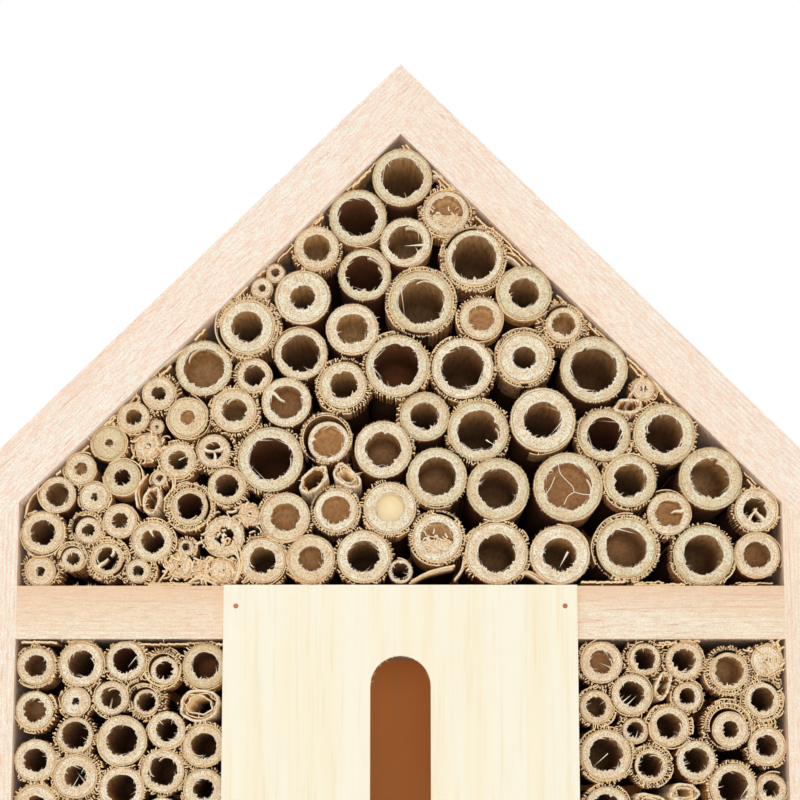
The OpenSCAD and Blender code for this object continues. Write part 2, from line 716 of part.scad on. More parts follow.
module crushed_reeds()
    color("tan") {
        for (c = attic_crushed) crushed_reed(c, attic_z + c[1], c[4]);
        for (c = concat(left_crushed, right_crushed)) crushed_reed(c, upper_shelf_z - c[1], -c[4]);
    }

roof_board_left();
roof_board_right();
side_wall_left();
side_wall_right();
upper_shelf();
lower_shelf();
floor_board();
upper_divider_left();
upper_divider_right();
lower_divider_left();
lower_divider_right();
back_panel();
butterfly_panel();
panel_nails();
roof_nails();
wall_nails_left();
wall_nails_right();
divider_nails();
back_panel_nails();
hanger_plate();
hanger_screws();
wire_mesh_left();
wire_mesh_right();
mesh_staples_left();
mesh_staples_right();
pine_cone_1();
pine_cone_2();
pine_cone_3();
pine_cone_4();
pine_cone_5();
pine_cone_6();
pine_cone_7();
pine_cone_8();
pine_cone_9();
pine_cone_10();
pine_cone_11();
pine_cone_12();
drilled_log_1();
drilled_log_2();
drilled_log_3();
attic_reeds_1();
attic_reeds_2();
attic_reeds_3();
attic_reeds_4();
attic_reeds_5();
attic_reeds_6();
attic_reeds_7();
attic_reeds_8();
left_bay_reeds_1();
left_bay_reeds_2();
left_bay_reeds_3();
left_bay_reeds_4();
left_bay_reeds_5();
right_bay_reeds_1();
right_bay_reeds_2();
right_bay_reeds_3();
right_bay_reeds_4();
right_bay_reeds_5();
crushed_reeds();
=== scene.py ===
"""Looks of the insect hotel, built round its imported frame.

The boards, the panel, the nails, the mesh and the hanger stay the frame's own nodes and get
materials and softened edges. Every reed and every pine cone is a new piece that stands in the
place of its solid in the frame. Lengths are in metres, and MM turns millimetres into metres.
"""

import math

import bpy
import numpy as np
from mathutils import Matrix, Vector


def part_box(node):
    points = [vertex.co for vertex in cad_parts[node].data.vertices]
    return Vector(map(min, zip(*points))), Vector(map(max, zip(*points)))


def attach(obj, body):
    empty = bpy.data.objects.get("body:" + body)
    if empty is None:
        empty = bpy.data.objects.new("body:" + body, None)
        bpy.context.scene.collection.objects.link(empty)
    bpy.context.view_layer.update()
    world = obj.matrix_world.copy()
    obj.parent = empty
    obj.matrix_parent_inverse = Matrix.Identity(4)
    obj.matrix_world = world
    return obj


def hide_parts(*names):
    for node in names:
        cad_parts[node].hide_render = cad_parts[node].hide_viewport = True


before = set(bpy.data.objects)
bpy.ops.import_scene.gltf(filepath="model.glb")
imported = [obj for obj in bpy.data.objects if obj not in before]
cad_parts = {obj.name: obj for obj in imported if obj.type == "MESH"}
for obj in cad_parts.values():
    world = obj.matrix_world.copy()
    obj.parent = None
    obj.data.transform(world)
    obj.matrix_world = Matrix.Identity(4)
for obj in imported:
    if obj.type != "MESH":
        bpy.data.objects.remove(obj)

MM = 0.001
TURN = 2 * math.pi
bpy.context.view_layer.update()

# Planes of the house, read from the frame
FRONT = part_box("side_wall_left")[0].y
WALL_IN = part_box("side_wall_right")[0].x
DIVIDER_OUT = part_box("upper_divider_right")[1].x
FLOOR_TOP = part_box("floor_board")[1].z
LOWER_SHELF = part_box("lower_shelf")[0].z
BAY_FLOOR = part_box("lower_shelf")[1].z
BAY_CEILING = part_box("upper_shelf")[0].z
ATTIC_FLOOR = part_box("upper_shelf")[1].z
RIDGE_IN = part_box("back_panel")[1].z
# The entrance slot of the butterfly panel: its width, and how far its top lies below the panel's
SLOT_WIDTH = 17 * MM
SLOT_DROP = 20 * MM


# Camera, light and floor

def add_camera():
    """Stands in front of the house, a little above its middle, and looks up a little."""
    data = bpy.data.cameras.new("camera")
    data.sensor_width = 36
    data.lens = 108
    data.clip_start = 0.05
    data.clip_end = 20
    camera = bpy.data.objects.new("camera", data)
    camera.location = (-0.00013, FRONT - 0.68065, 0.2603)
    camera.rotation_euler = (math.radians(99.94), 0, 0)
    bpy.context.scene.collection.objects.link(camera)
    bpy.context.scene.camera = camera


def add_lamp(name, place, target, size, watts):
    data = bpy.data.lights.new(name, "AREA")
    data.shape = "DISK"
    data.size = size
    data.energy = watts
    lamp = bpy.data.objects.new(name, data)
    lamp.location = place
    direction = np.array(target) - np.array(place)
    level = math.hypot(direction[0], direction[1])
    lamp.rotation_euler = (math.atan2(level, -direction[2]), 0, math.atan2(-direction[0], direction[1]))
    bpy.context.scene.collection.objects.link(lamp)


def add_stage():
    """White surroundings, a pale floor and soft lamps in front."""
    world = bpy.data.worlds.new("studio")
    world.use_nodes = True
    nodes, links = world.node_tree.nodes, world.node_tree.links
    ray = nodes.new("ShaderNodeLightPath")
    strength = nodes.new("ShaderNodeMapRange")
    strength.inputs["To Min"].default_value = 0.45
    strength.inputs["To Max"].default_value = 1.0
    links.new(ray.outputs["Is Camera Ray"], strength.inputs["Value"])
    links.new(strength.outputs["Result"], nodes["Background"].inputs["Strength"])
    nodes["Background"].inputs["Color"].default_value = (1, 1, 1, 1)
    bpy.context.scene.world = world
    bpy.context.scene.view_settings.view_transform = "Standard"
    half = 4.0
    mesh = bpy.data.meshes.new("studio_floor")
    corners = [(-half, -half, 0), (half, -half, 0), (half, half, 0), (-half, half, 0)]
    mesh.from_pydata(corners, [], [(0, 1, 2, 3)])
    floor = bpy.data.objects.new("studio_floor", mesh)
    bpy.context.scene.collection.objects.link(floor)
    paint = Paint("studio_floor", roughness=0.9)
    speckle = paint.noise(paint.place(), 30, 2)
    paint.finish(paint.mix(speckle, rgb(238, 238, 236), rgb(244, 244, 242)))
    mesh.materials.append(paint.material)
    add_lamp("front", (0.04, -1.5, 0.08), (0, 0, 0.32), 0.6, 12)
    add_lamp("key", (-0.6, -1.7, 0.8), (0, 0, 0.3), 0.9, 4)


# Materials

def rgb(red, green, blue):
    """A colour from its 0 to 255 display values, as the linear colour that shaders use."""
    shares = [v / 255 for v in (red, green, blue)]
    linear = [s / 12.92 if s <= 0.04045 else ((s + 0.055) / 1.055) ** 2.4 for s in shares]
    return (*linear, 1.0)


class Paint:
    """One node material under construction, with short names for the nodes it uses."""

    def __init__(self, name, roughness, metallic=0.0):
        self.material = bpy.data.materials.new(name)
        self.material.use_nodes = True
        self.tree = self.material.node_tree
        self.shader = self.tree.nodes["Principled BSDF"]
        self.shader.inputs["Roughness"].default_value = roughness
        self.shader.inputs["Metallic"].default_value = metallic
        self.shader.inputs["Specular IOR Level"].default_value = 0.25

    def put(self, socket, value):
        """Links value to socket if it is a node's output, or sets it if it is a number."""
        if isinstance(value, bpy.types.NodeSocket):
            self.tree.links.new(value, socket)
        else:
            socket.default_value = value

    def place(self):
        return self.tree.nodes.new("ShaderNodeTexCoord").outputs["Object"]

    def faces(self, direction):
        """How squarely the surface faces a direction, from -1 to 1."""
        return self.dot(self.tree.nodes.new("ShaderNodeNewGeometry").outputs["True Normal"], direction)

    def attribute(self, name):
        node = self.tree.nodes.new("ShaderNodeAttribute")
        node.attribute_name = name
        return node.outputs["Fac"]

    def mapped(self, vector, scale=(1, 1, 1), turn=(0, 0, 0), shift=(0, 0, 0)):
        node = self.tree.nodes.new("ShaderNodeMapping")
        self.put(node.inputs["Vector"], vector)
        node.inputs["Scale"].default_value = scale
        node.inputs["Rotation"].default_value = turn
        node.inputs["Location"].default_value = shift
        return node.outputs["Vector"]

    def noise(self, vector, scale, detail=3, roughness=0.55, distortion=0.0):
        node = self.tree.nodes.new("ShaderNodeTexNoise")
        self.put(node.inputs["Vector"], vector)
        node.inputs["Scale"].default_value = scale
        node.inputs["Detail"].default_value = detail
        node.inputs["Roughness"].default_value = roughness
        node.inputs["Distortion"].default_value = distortion
        return node.outputs["Fac"]

    def streaks(self, vector, squeeze, scale, detail=3, roughness=0.55):
        """Noise drawn out along X, more so the smaller the squeeze."""
        return self.noise(self.mapped(vector, scale=(squeeze, 1, 1)), scale, detail, roughness)

    def cells(self, vector, scale):
        """Distance to the nearest cell's middle, and a random number for each cell."""
        node = self.tree.nodes.new("ShaderNodeTexVoronoi")
        self.put(node.inputs["Vector"], vector)
        node.inputs["Scale"].default_value = scale
        return node.outputs["Distance"], self.parts(node.outputs["Color"])[0]

    def parts(self, vector):
        node = self.tree.nodes.new("ShaderNodeSeparateXYZ")
        self.put(node.inputs["Vector"], vector)
        return node.outputs[0], node.outputs[1], node.outputs[2]

    def math(self, operation, first, second=0.0, third=0.0):
        node = self.tree.nodes.new("ShaderNodeMath")
        node.operation = operation
        self.put(node.inputs[0], first)
        self.put(node.inputs[1], second)
        self.put(node.inputs[2], third)
        return node.outputs[0]

    def times(self, first, second):
        return self.math("MULTIPLY", first, second)

    def vectors(self, operation, output, *vectors):
        """One step of arithmetic with vectors, and which of its outputs to take."""
        node = self.tree.nodes.new("ShaderNodeVectorMath")
        node.operation = operation
        for socket, vector in zip(node.inputs, vectors):
            self.put(socket, vector)
        return node.outputs[output]

    def dot(self, vector, direction):
        return self.vectors("DOT_PRODUCT", "Value", vector, direction)

    def span(self, value, low, high, to_low=0.0, to_high=1.0):
        """Value carried from the range low to high into another range, smoothly and clamped."""
        node = self.tree.nodes.new("ShaderNodeMapRange")
        node.interpolation_type = "SMOOTHSTEP"
        self.put(node.inputs["Value"], value)
        node.inputs["From Min"].default_value = low
        node.inputs["From Max"].default_value = high
        node.inputs["To Min"].default_value = to_low
        node.inputs["To Max"].default_value = to_high
        return node.outputs["Result"]

    def ramp(self, value, low, high, stops):
        """A colour for each value, from stops of (value, colour) between low and high."""
        node = self.tree.nodes.new("ShaderNodeValToRGB")
        share = self.math("DIVIDE", self.math("SUBTRACT", value, low), high - low)
        self.put(node.inputs["Fac"], share)
        elements = node.color_ramp.elements
        while len(elements) < len(stops):
            elements.new(1.0)
        for element, (at, colour) in zip(elements, stops):
            element.position = (at - low) / (high - low)
            element.color = colour
        return node.outputs["Color"]

    def mix(self, share, first, second, blend="MIX"):
        node = self.tree.nodes.new("ShaderNodeMix")
        node.data_type = "RGBA"
        node.blend_type = blend
        self.put(node.inputs[0], share)
        self.put(node.inputs[6], first)
        self.put(node.inputs[7], second)
        return node.outputs[2]

    def lay(self, base, colour, share, most):
        """Lays a colour over the base, as much of it as share says times most."""
        return self.mix(self.times(share, most), base, colour)

    def finish(self, colour, height=None, strength=0.3, depth=0.2 * MM):
        self.put(self.shader.inputs["Base Color"], colour)
        if height is not None:
            bump = self.tree.nodes.new("ShaderNodeBump")
            bump.inputs["Strength"].default_value = strength
            bump.inputs["Distance"].default_value = depth
            self.put(bump.inputs["Height"], height)
            self.put(self.shader.inputs["Normal"], bump.outputs["Normal"])
        return self.material


def softwood(name, lean, seed, pale, warm, line, painted_shade_band=None):
    """Sawn softwood. The grain runs along X once the wood is turned by lean about Y.
    The painted shade band gives the levels between which a flat board turns from its own colour to a darker,
    warmer one towards its top: painted shade, partly the wood's own tone."""
    ring_pitch = 1.2 * MM
    paint = Paint(name, roughness=0.78)
    turned = paint.mapped(paint.place(), turn=(0, lean, 0), shift=(0.37 * seed, 0.11 * seed, 0.23 * seed))
    fibres = paint.mapped(turned, scale=(0.05, 1, 1))
    drift = paint.noise(fibres, 38, 3, distortion=0.4)
    across = paint.dot(turned, (0, 0.42, 0.91))
    phase = paint.math("MULTIPLY_ADD", across, TURN / ring_pitch, paint.times(drift, 26))
    rings = paint.math("POWER", paint.math("MULTIPLY_ADD", paint.math("SINE", phase), 0.5, 0.5), 2.0)
    rings = paint.times(rings, paint.span(paint.noise(fibres, 70, 2), 0.35, 0.7, 0.15, 1.0))
    broad = paint.span(paint.streaks(turned, 0.12, 60, 4), 0.38, 0.64)
    base = paint.mix(broad, pale, warm)
    # Painted shade: a flat board darkens towards the top of its front edge, partly the wood's own tone.
    if painted_shade_band:
        level = paint.parts(paint.place())[2]
        base = paint.mix(paint.span(level, *painted_shade_band, 0, 0.75), base, line)
    base = paint.lay(base, line, rings, 0.5)
    speckle = paint.span(paint.streaks(turned, 0.10, 2400, 3, 0.75), 0.46, 0.64)
    base = paint.lay(base, line, speckle, 0.6)
    dust = paint.span(paint.noise(turned, 2400, 2), 0.46, 0.60)
    base = paint.lay(base, line, dust, 0.5)
    saw_line = paint.streaks(turned, 0.018, 210, 2, 0.5)
    saw_line = paint.span(paint.math("ABSOLUTE", paint.math("SUBTRACT", saw_line, 0.5)), 0.0, 0.008, 1, 0)
    broken = paint.span(paint.streaks(turned, 0.1, 300, 2), 0.5, 0.62)
    saw_line = paint.times(saw_line, broken)
    base = paint.lay(base, rgb(232, 160, 112), saw_line, 0.75)
    fleck = paint.span(paint.streaks(turned, 0.07, 1300, 4, 0.7), 0.60, 0.68)
    base = paint.lay(base, rgb(220, 156, 120), fleck, 0.65)
    hair = paint.streaks(turned, 0.03, 3600, 2)
    height = paint.math("SUBTRACT", hair, paint.math("ADD", saw_line, paint.times(speckle, 0.6)))
    return paint.finish(base, height, 0.35, 0.2 * MM)


def plywood(name, lean, seed, pale, warm, core, front, thick, inside=None):
    """Plywood: faint streaks along the grain of the face, and a darker core seen at the edges.
    Inside is the colour of a face that looks into the house."""
    paint = Paint(name, roughness=0.7)
    turned = paint.mapped(paint.place(), turn=(0, lean, 0), shift=(0.19 * seed, 0, 0.31 * seed))
    fibres = paint.mapped(turned, scale=(0.035, 1, 1))
    wide = paint.span(paint.noise(fibres, 160, 3, distortion=0.5), 0.42, 0.66)
    fine = paint.span(paint.noise(fibres, 1100, 3, 0.6), 0.48, 0.72)
    base = paint.mix(paint.times(wide, 0.8), pale, warm)
    base = paint.lay(base, core, fine, 0.32)
    if inside:
        looks_in = paint.span(paint.faces((0, -1, 0)), 0.3, 0.7)
        base = paint.mix(looks_in, base, paint.lay(inside, core, wide, 0.2))
    depth = paint.math("SUBTRACT", paint.parts(paint.place())[1], front)
    layer = paint.math("PINGPONG", depth, thick / 2)
    inner = paint.span(layer, 0.31 * thick, 0.35 * thick)
    end = paint.noise(paint.place(), 1500, 2)
    base = paint.mix(inner, base, paint.mix(end, core, rgb(190, 140, 90)))
    height = paint.streaks(turned, 0.03, 2600, 2)
    return paint.finish(base, height, 0.15, 0.08 * MM)


def reed_skin():
    """The body of a reed. The attribute radial is 0 to 1 across the cut face, falls below 0 down the
    bore and rises above 1 along the outside, a tenth for each millimetre. Glow is how pale the bore is.
    The outside and the bore are painted darker the further back they lie from the mouth: painted shade."""
    paint = Paint("reed_skin", roughness=0.85)
    place = paint.place()
    radial = paint.attribute("radial")
    green = paint.attribute("green")
    tone = paint.attribute("tone")
    wander = paint.noise(place, 420, 3)
    shade = paint.math("ADD", radial, paint.math("MULTIPLY_ADD", wander, 0.14, -0.07))
    # Above 1 the ramp paints the outside of the reed: its own tan and brown skin at the rim, then painted
    # shade that darkens it further back between the reeds.
    face = paint.ramp(shade, 0.0, 1.6, [
        (0.00, rgb(255, 255, 242)), (0.12, rgb(255, 250, 230)), (0.24, rgb(252, 234, 200)),
        (0.48, rgb(255, 246, 220)), (0.68, rgb(255, 252, 232)), (0.78, rgb(254, 244, 218)),
        (0.82, rgb(210, 176, 134)), (0.86, rgb(214, 182, 138)), (0.90, rgb(255, 242, 212)),
        (0.95, rgb(252, 232, 194)), (1.00, rgb(238, 190, 130)), (1.06, rgb(176, 118, 72)),
        (1.60, rgb(122, 78, 48)),
    ])
    cut = paint.times(paint.span(radial, 0.0, 0.10), paint.span(radial, 0.93, 0.99, 1, 0))
    outward = paint.times(cut, paint.span(radial, 0.15, 0.7, 0.30, 1.0))
    mossy = paint.mix(1.0, face, rgb(230, 232, 216), "MULTIPLY")
    face = paint.mix(paint.times(green, outward), face, mossy)
    rosy = paint.mix(1.0, face, rgb(252, 234, 214), "MULTIPLY")
    face = paint.lay(face, rosy, tone, 0.6)
    patch = paint.span(paint.noise(place, 260, 2), 0.42, 0.62)
    face = paint.lay(face, rgb(228, 188, 140), paint.times(patch, cut), 0.42)
    grain = paint.times(paint.span(paint.noise(place, 2100, 2, 0.8), 0.50, 0.60), cut)
    face = paint.lay(face, rgb(168, 120, 72), grain, 0.55)
    distance, random = paint.cells(place, 1700)
    dots = paint.times(paint.span(distance, 0.10, 0.34, 1, 0), paint.span(random, 0.2, 0.6))
    dots = paint.times(dots, outward)
    face = paint.lay(face, rgb(132, 96, 58), dots, 0.5)
    wave = paint.math("SINE", paint.math("MULTIPLY_ADD", radial, 40, paint.times(wander, 9)))
    lines = paint.times(paint.span(wave, 0.3, 1.0), paint.times(cut, tone))
    face = paint.lay(face, rgb(190, 152, 108), lines, 0.35)
    wall = paint.mix(paint.attribute("glow"), rgb(166, 104, 62), rgb(255, 216, 152))
    along = paint.noise(paint.mapped(place, scale=(1, 0.10, 1)), 1100, 3)
    wall = paint.lay(wall, rgb(124, 74, 40), paint.span(along, 0.42, 0.68), 0.4)
    # Painted shade: the bore wall darkens the deeper it lies, darkest at the joint.
    painted_bore_shade = paint.span(radial, AT_JOINT, -0.4, 1, 0)
    wall = paint.lay(wall, rgb(120, 68, 38), painted_bore_shade, 0.55)
    base = paint.mix(paint.span(radial, -0.07, -0.005), wall, face)
    grit = paint.noise(place, 2600, 2)
    height = paint.math("SUBTRACT", grit, paint.times(dots, 0.9))
    return paint.finish(base, height, 0.45, 0.25 * MM)


def streaky(name, pale, warm, dark, edge, scale):
    """Dry fibre, sheath or film: three colours in blotches and streaks that run back from the front,
    and a cut edge that looks to the front."""
    paint = Paint(name, roughness=0.85)
    place = paint.place()
    blotch = paint.span(paint.noise(place, scale * 0.35, 3), 0.35, 0.68)
    streak = paint.span(paint.noise(paint.mapped(place, scale=(1, 0.12, 1)), scale * 1.6, 3), 0.48, 0.74)
    base = paint.mix(blotch, pale, warm)
    base = paint.lay(base, dark, streak, 0.6)
    speckle = paint.span(paint.noise(place, scale * 1.5, 2), 0.45, 0.75)
    base = paint.mix(paint.span(paint.faces((0, -1, 0)), 0.25, 0.8), base, paint.mix(speckle, edge, pale))
    return paint.finish(base, streak, 0.3, 0.15 * MM)


def cone_scale_paint():
    """Pine cone scales: dark at the root, and a paler grey-brown at the worn tip."""
    paint = Paint("pine_cone_scale", roughness=0.7)
    place = paint.place()
    tip = paint.attribute("tip")
    grain = paint.noise(place, 700, 4)
    shade = paint.math("ADD", tip, paint.math("MULTIPLY_ADD", grain, 0.4, -0.2))
    base = paint.ramp(shade, 0, 1, [
        (0.0, rgb(62, 38, 24)), (0.55, rgb(112, 70, 42)), (0.8, rgb(150, 104, 66)), (1.0, rgb(186, 150, 112)),
    ])
    return paint.finish(base, grain, 0.5, 0.4 * MM)


def log_paint(name, x, z, radius):
    """A sawn branch: rings and drying cracks on the ends, and rough bark round the outside."""
    ring_pitch = 2.2 * MM
    paint = Paint(name, roughness=0.85)
    place = paint.place()
    from_heart = paint.mapped(place, scale=(1, 0, 1), shift=(-x, 0, -z))
    distance = paint.vectors("LENGTH", "Value", from_heart)
    wander = paint.noise(place, 55, 3)
    distance = paint.math("ADD", distance, paint.math("MULTIPLY_ADD", wander, 5 * MM, -2.5 * MM))
    phase = paint.times(distance, TURN / ring_pitch)
    rings = paint.math("MULTIPLY_ADD", paint.math("SINE", phase), 0.5, 0.5)
    base = paint.mix(paint.times(rings, 0.6), rgb(226, 190, 142), rgb(186, 140, 92))
    heartwood = paint.span(distance, 0.3 * radius, 0.6 * radius, 0.45, 0)
    base = paint.mix(heartwood, base, rgb(176, 122, 72))
    fuzz = paint.noise(place, 1400, 3)
    base = paint.lay(base, rgb(150, 104, 64), fuzz, 0.35)
    way = paint.vectors("NORMALIZE", "Vector", from_heart)
    crack = paint.math("ABSOLUTE", paint.math("SUBTRACT", paint.noise(way, 3.1, 2), 0.5))
    crack = paint.math("SUBTRACT", 1.0, paint.span(paint.times(crack, distance), 0.0, 0.30 * MM))
    crack = paint.times(crack, paint.span(distance, 0.10 * radius, 0.35 * radius))
    base = paint.lay(base, rgb(84, 54, 32), crack, 0.8)
    ridges = paint.noise(paint.mapped(place, scale=(1, 0.25, 1)), 330, 4, 0.65)
    bark = paint.ramp(ridges, 0.25, 0.75, [
        (0.25, rgb(52, 34, 24)), (0.5, rgb(102, 72, 50)), (0.75, rgb(156, 122, 92)),
    ])
    outside = paint.span(distance, radius - 2.6 * MM, radius - 2.0 * MM)
    base = paint.mix(outside, base, bark)
    return paint.finish(base, paint.math("ADD", ridges, fuzz), 0.6, 0.5 * MM)


def steel(name, bright, dull, roughness, scale=500):
    """Zinc-plated steel, with a mottled bloom."""
    paint = Paint(name, roughness=roughness, metallic=0.9)
    mottle = paint.span(paint.noise(paint.place(), scale, 4), 0.35, 0.7)
    return paint.finish(paint.mix(mottle, bright, dull), mottle, 0.15, 0.05 * MM)


# Mesh helpers

class Shell:
    """The points and faces of one piece while it is built, with values kept for each point."""

    def __init__(self, paints, values=()):
        self.paints = paints
        self.points = []
        self.faces = []
        self.slots = []
        self.smooth = []
        self.values = {name: [] for name in values}
        self.count = 0

    def add(self, points, faces, paint, **values):
        """Adds points, faces that number them from 0, the paint of the faces, and their values."""
        start = self.count
        points = np.asarray(points, float).reshape(-1, 3)
        self.points.append(points)
        self.count += len(points)
        self.faces.extend([[start + corner for corner in face] for face in faces])
        self.slots.extend([self.paints.index(paint)] * len(faces))
        self.smooth.extend([paint not in ("sheath", "pale_fibre")] * len(faces))
        for name, kept in self.values.items():
            kept.append(np.broadcast_to(np.asarray(values.get(name, 0.0), float), (len(points),)))

    def sheet(self, path, thickness, front, back, ragged=None, paint="sheath"):
        """Adds a thin sheet, as strip() makes it."""
        self.add(*strip(path, thickness, front, back, ragged), paint)

    def splinter(self, base, tip, width, paint="pale_fibre"):
        """Adds a slim splinter, as spike() makes it."""
        self.add(*spike(base, tip, width), paint)

    def rings(self, rings, paint, **values):
        """Adds a skin over closed rings of points, with a fan over the single point at each pole."""
        rings = np.asarray(rings, float)
        number, around = rings.shape[:2]
        here = np.arange(around)
        after = (here + 1) % around
        faces = []
        for k in range(number - 1):
            low = k * around
            corners = low + here, low + after, low + around + after, low + around + here
            faces.extend(np.stack(corners, 1).tolist())
        points = np.concatenate([rings.reshape(-1, 3), rings[0].mean(0)[None], rings[-1].mean(0)[None]])
        first, last = number * around, number * around + 1
        faces.extend([[first, after[i], here[i]] for i in range(around)])
        top = (number - 1) * around
        faces.extend([[last, top + here[i], top + after[i]] for i in range(around)])
        self.add(points, faces, paint, **values)

    def piece(self, name, slot, *replaced):
        mesh = bpy.data.meshes.new(name)
        mesh.from_pydata(np.concatenate(self.points).tolist(), [], self.faces)
        for paint in self.paints:
            mesh.materials.append(PAINTS[paint])
        mesh.polygons.foreach_set("material_index", self.slots)
        mesh.polygons.foreach_set("use_smooth", self.smooth)
        for label, kept in self.values.items():
            attribute = mesh.attributes.new(label, "FLOAT", "POINT")
            attribute.data.foreach_set("value", np.concatenate(kept).astype(np.float32))
        mesh.update()
        piece = bpy.data.objects.new(name, mesh)
        bpy.context.scene.collection.objects.link(piece)
        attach(piece, "root")
        if replaced:
            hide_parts(*replaced)
        return piece


def solids(node):
    """The points of each separate solid in a node of the frame."""
    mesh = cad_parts[node].data
    points = np.zeros(len(mesh.vertices) * 3)
    mesh.vertices.foreach_get("co", points)
    edges = np.zeros(len(mesh.edges) * 2, int)
    mesh.edges.foreach_get("vertices", edges)
    welded, index = np.unique(np.round(points.reshape(-1, 3), 6), axis=0, return_inverse=True)
    edges = index.reshape(-1)[edges.reshape(-1, 2)]
    label = np.arange(len(welded))
    while True:
        lowest = label[edges].min(1)
        spread = label.copy()
        np.minimum.at(spread, edges[:, 0], lowest)
        np.minimum.at(spread, edges[:, 1], lowest)
        if (spread == label).all():
            return [welded[label == k] for k in np.unique(label)]
        label = spread


def waves(rng, around, low, high, fade=1.0):
    """A wavy line round a circle, between -1 and 1, made of low to high waves a turn."""
    k = np.arange(low, high + 1)[:, None]
    size = rng.normal(size=k.shape) / k ** fade
    angle = np.arange(around) * TURN / around
    line = (size * np.cos(k * angle + rng.uniform(0, TURN, k.shape))).sum(0)
    return line / max(np.abs(line).max(), 1e-9)


def spike(base, tip, width):
    """Points and faces of a slim splinter with three sides."""
    base, tip = np.array(base, float), np.array(tip, float)
    along = (tip - base) / max(np.linalg.norm(tip - base), 1e-9)
    side = np.cross(along, (0.3, 0.9, 0.31))
    side /= np.linalg.norm(side)
    other = np.cross(along, side)
    turns = (0, TURN / 3, 2 * TURN / 3)
    corners = [base + width / 2 * (math.cos(turn) * side + math.sin(turn) * other) for turn in turns]
    return corners + [tip], [[0, 2, 1], [0, 1, 3], [1, 2, 3], [2, 0, 3]]


def strip(path, thickness, front, back, ragged=None):
    """Points and faces of a thin sheet that follows a path of (x, z) points and runs from front to back.
    Ragged moves each point of its front edge along Y."""
    path = np.asarray(path, float)
    ahead = np.gradient(path, axis=0)
    ahead /= np.maximum(np.linalg.norm(ahead, axis=1), 1e-9)[:, None]
    side = np.stack([-ahead[:, 1], ahead[:, 0]], 1) * np.reshape(thickness, (-1, 1)) / 2
    ragged = np.zeros(len(path)) if ragged is None else ragged
    rows = []
    for edge, depth in ((path - side, front + ragged), (path + side, front + ragged),
                        (path + side, back), (path - side, back)):
        rows.append(np.stack([edge[:, 0], np.broadcast_to(depth, len(path)), edge[:, 1]], 1))
    points = np.stack(rows, 1).reshape(-1, 3)
    faces = []
    for k in range(len(path) - 1):
        for i in range(4):
            a, b = 4 * k + i, 4 * k + (i + 1) % 4
            faces.append([a, b, b + 4, a + 4])
    last = 4 * (len(path) - 1)
    faces += [[3, 2, 1, 0], [last, last + 1, last + 2, last + 3]]
    return points, faces


def arc(x, z, radius, start, sweep, lift=0.0, wobble=0.0, rng=None):
    """A path of (x, z) points round a centre. Lift is how much further out its far end lies."""
    spacing = 0.7 * MM
    steps = max(4, int(abs(sweep) * radius / spacing))
    share = np.linspace(0, 1, steps)
    angle = start + sweep * share
    reach = radius + lift * share ** 2
    if rng is not None:
        reach = reach + wobble * np.interp(share, np.linspace(0, 1, 9), rng.uniform(-1, 1, 9))
    return np.stack([x + reach * np.cos(angle), z + reach * np.sin(angle)], 1)


def smooth_path(points, steps=7):
    """A smooth curve through a few points, with steps stretches between each two."""
    points = np.asarray(points, float) * MM
    ends = np.concatenate([[2 * points[0] - points[1]], points, [2 * points[-1] - points[-2]]])
    curve = []
    for a, b, c, d in zip(ends, ends[1:], ends[2:], ends[3:]):
        for t in np.arange(steps) / steps:
            curve.append(0.5 * (2 * b + (c - a) * t + (2 * a - 5 * b + 4 * c - d) * t * t
                                + (3 * b - a - 3 * c + d) * t ** 3))
    return np.array(curve + [points[-1]])


# Reeds

# Values of the attribute radial on a reed's joint, in the hollow behind it, and at its rear end.
# The skin paint puts the joint in the bore's deepest painted shade, and the rear end in the darkest painted
# shade of the outside.
AT_JOINT = -3.0
BEHIND_JOINT = -1.0
AT_REAR = 9.0
# How much the attribute radial changes in a millimetre along the reed
RADIAL_PER_MM = 0.1
# Reeds that differ from their neighbours, by their centres: (x, z) in millimetres.
# A sheathed reed has the ribbed remains of a leaf sheath round it.
SHEATHED = [(64.5, 337), (36, 392.5), (10.5, 340), (6, 409), (21.5, 422), (-60.5, 349), (-44.5, 401.5),
            (92.5, 286.5), (102.5, 294), (93, 302), (-18.5, 348), (70.5, 275.5), (-84, 334), (47.5, 402.5)]
# A loose reed stands off centre inside its outer skin.
LOOSE = [(-90, 343), (-67.5, 303), (-72.5, 294), (92.5, 286.5), (-94, 334.5), (-21.5, 369)]
# A filmed reed is closed near its mouth by a pale skin, and a packed one is full of pith.
FILMED = [(-3, 348.5)]
PACKED = [(13.5, 436), (10.5, 340)]
# Reeds with a grey-green cut face
GREEN = [(0.5, 446), (-10.5, 417.5), (-37.5, 363), (56, 389), (59, 370), (76, 370), (66, 356.5), (22.5, 371),
         (7, 375.5), (-1, 390), (6, 409), (28, 354), (64.5, 337), (-60.5, 349), (-57, 389.5), (86.5, 335),
         (-55.5, 303.5), (-92, 284), (36, 411.5), (89, 357), (48, 354.5), (10.5, 357.5), (-12.5, 434.5),
         (-80, 357.5), (-84, 367.5)]
# Reeds whose bore is pale inside, and reeds whose bore is dark
PALE_BORES = [(-3, 348.5), (-21.5, 369), (-14, 401), (-24.5, 425), (-61.5, 375), (-48, 377), (23.5, 404),
              (13.5, 436), (10.5, 340), (-57, 389.5), (47.5, 402.5), (-39.5, 333.5), (-16.5, 384.5)]
DARK_BORES = [(-37.5, 363), (-1, 390), (-12.5, 434.5), (-10.5, 417.5), (-60.5, 349), (-80, 357.5),
              (-55.5, 303.5), (59, 370), (-78, 305), (-67.5, 303)]
# Reeds torn to shreds at the mouth
SHREDDED = [(-57, 331), (-51, 331), (-63, 332), (-43.5, 347), (-73, 367), (-50.5, 340.5), (104, 305)]
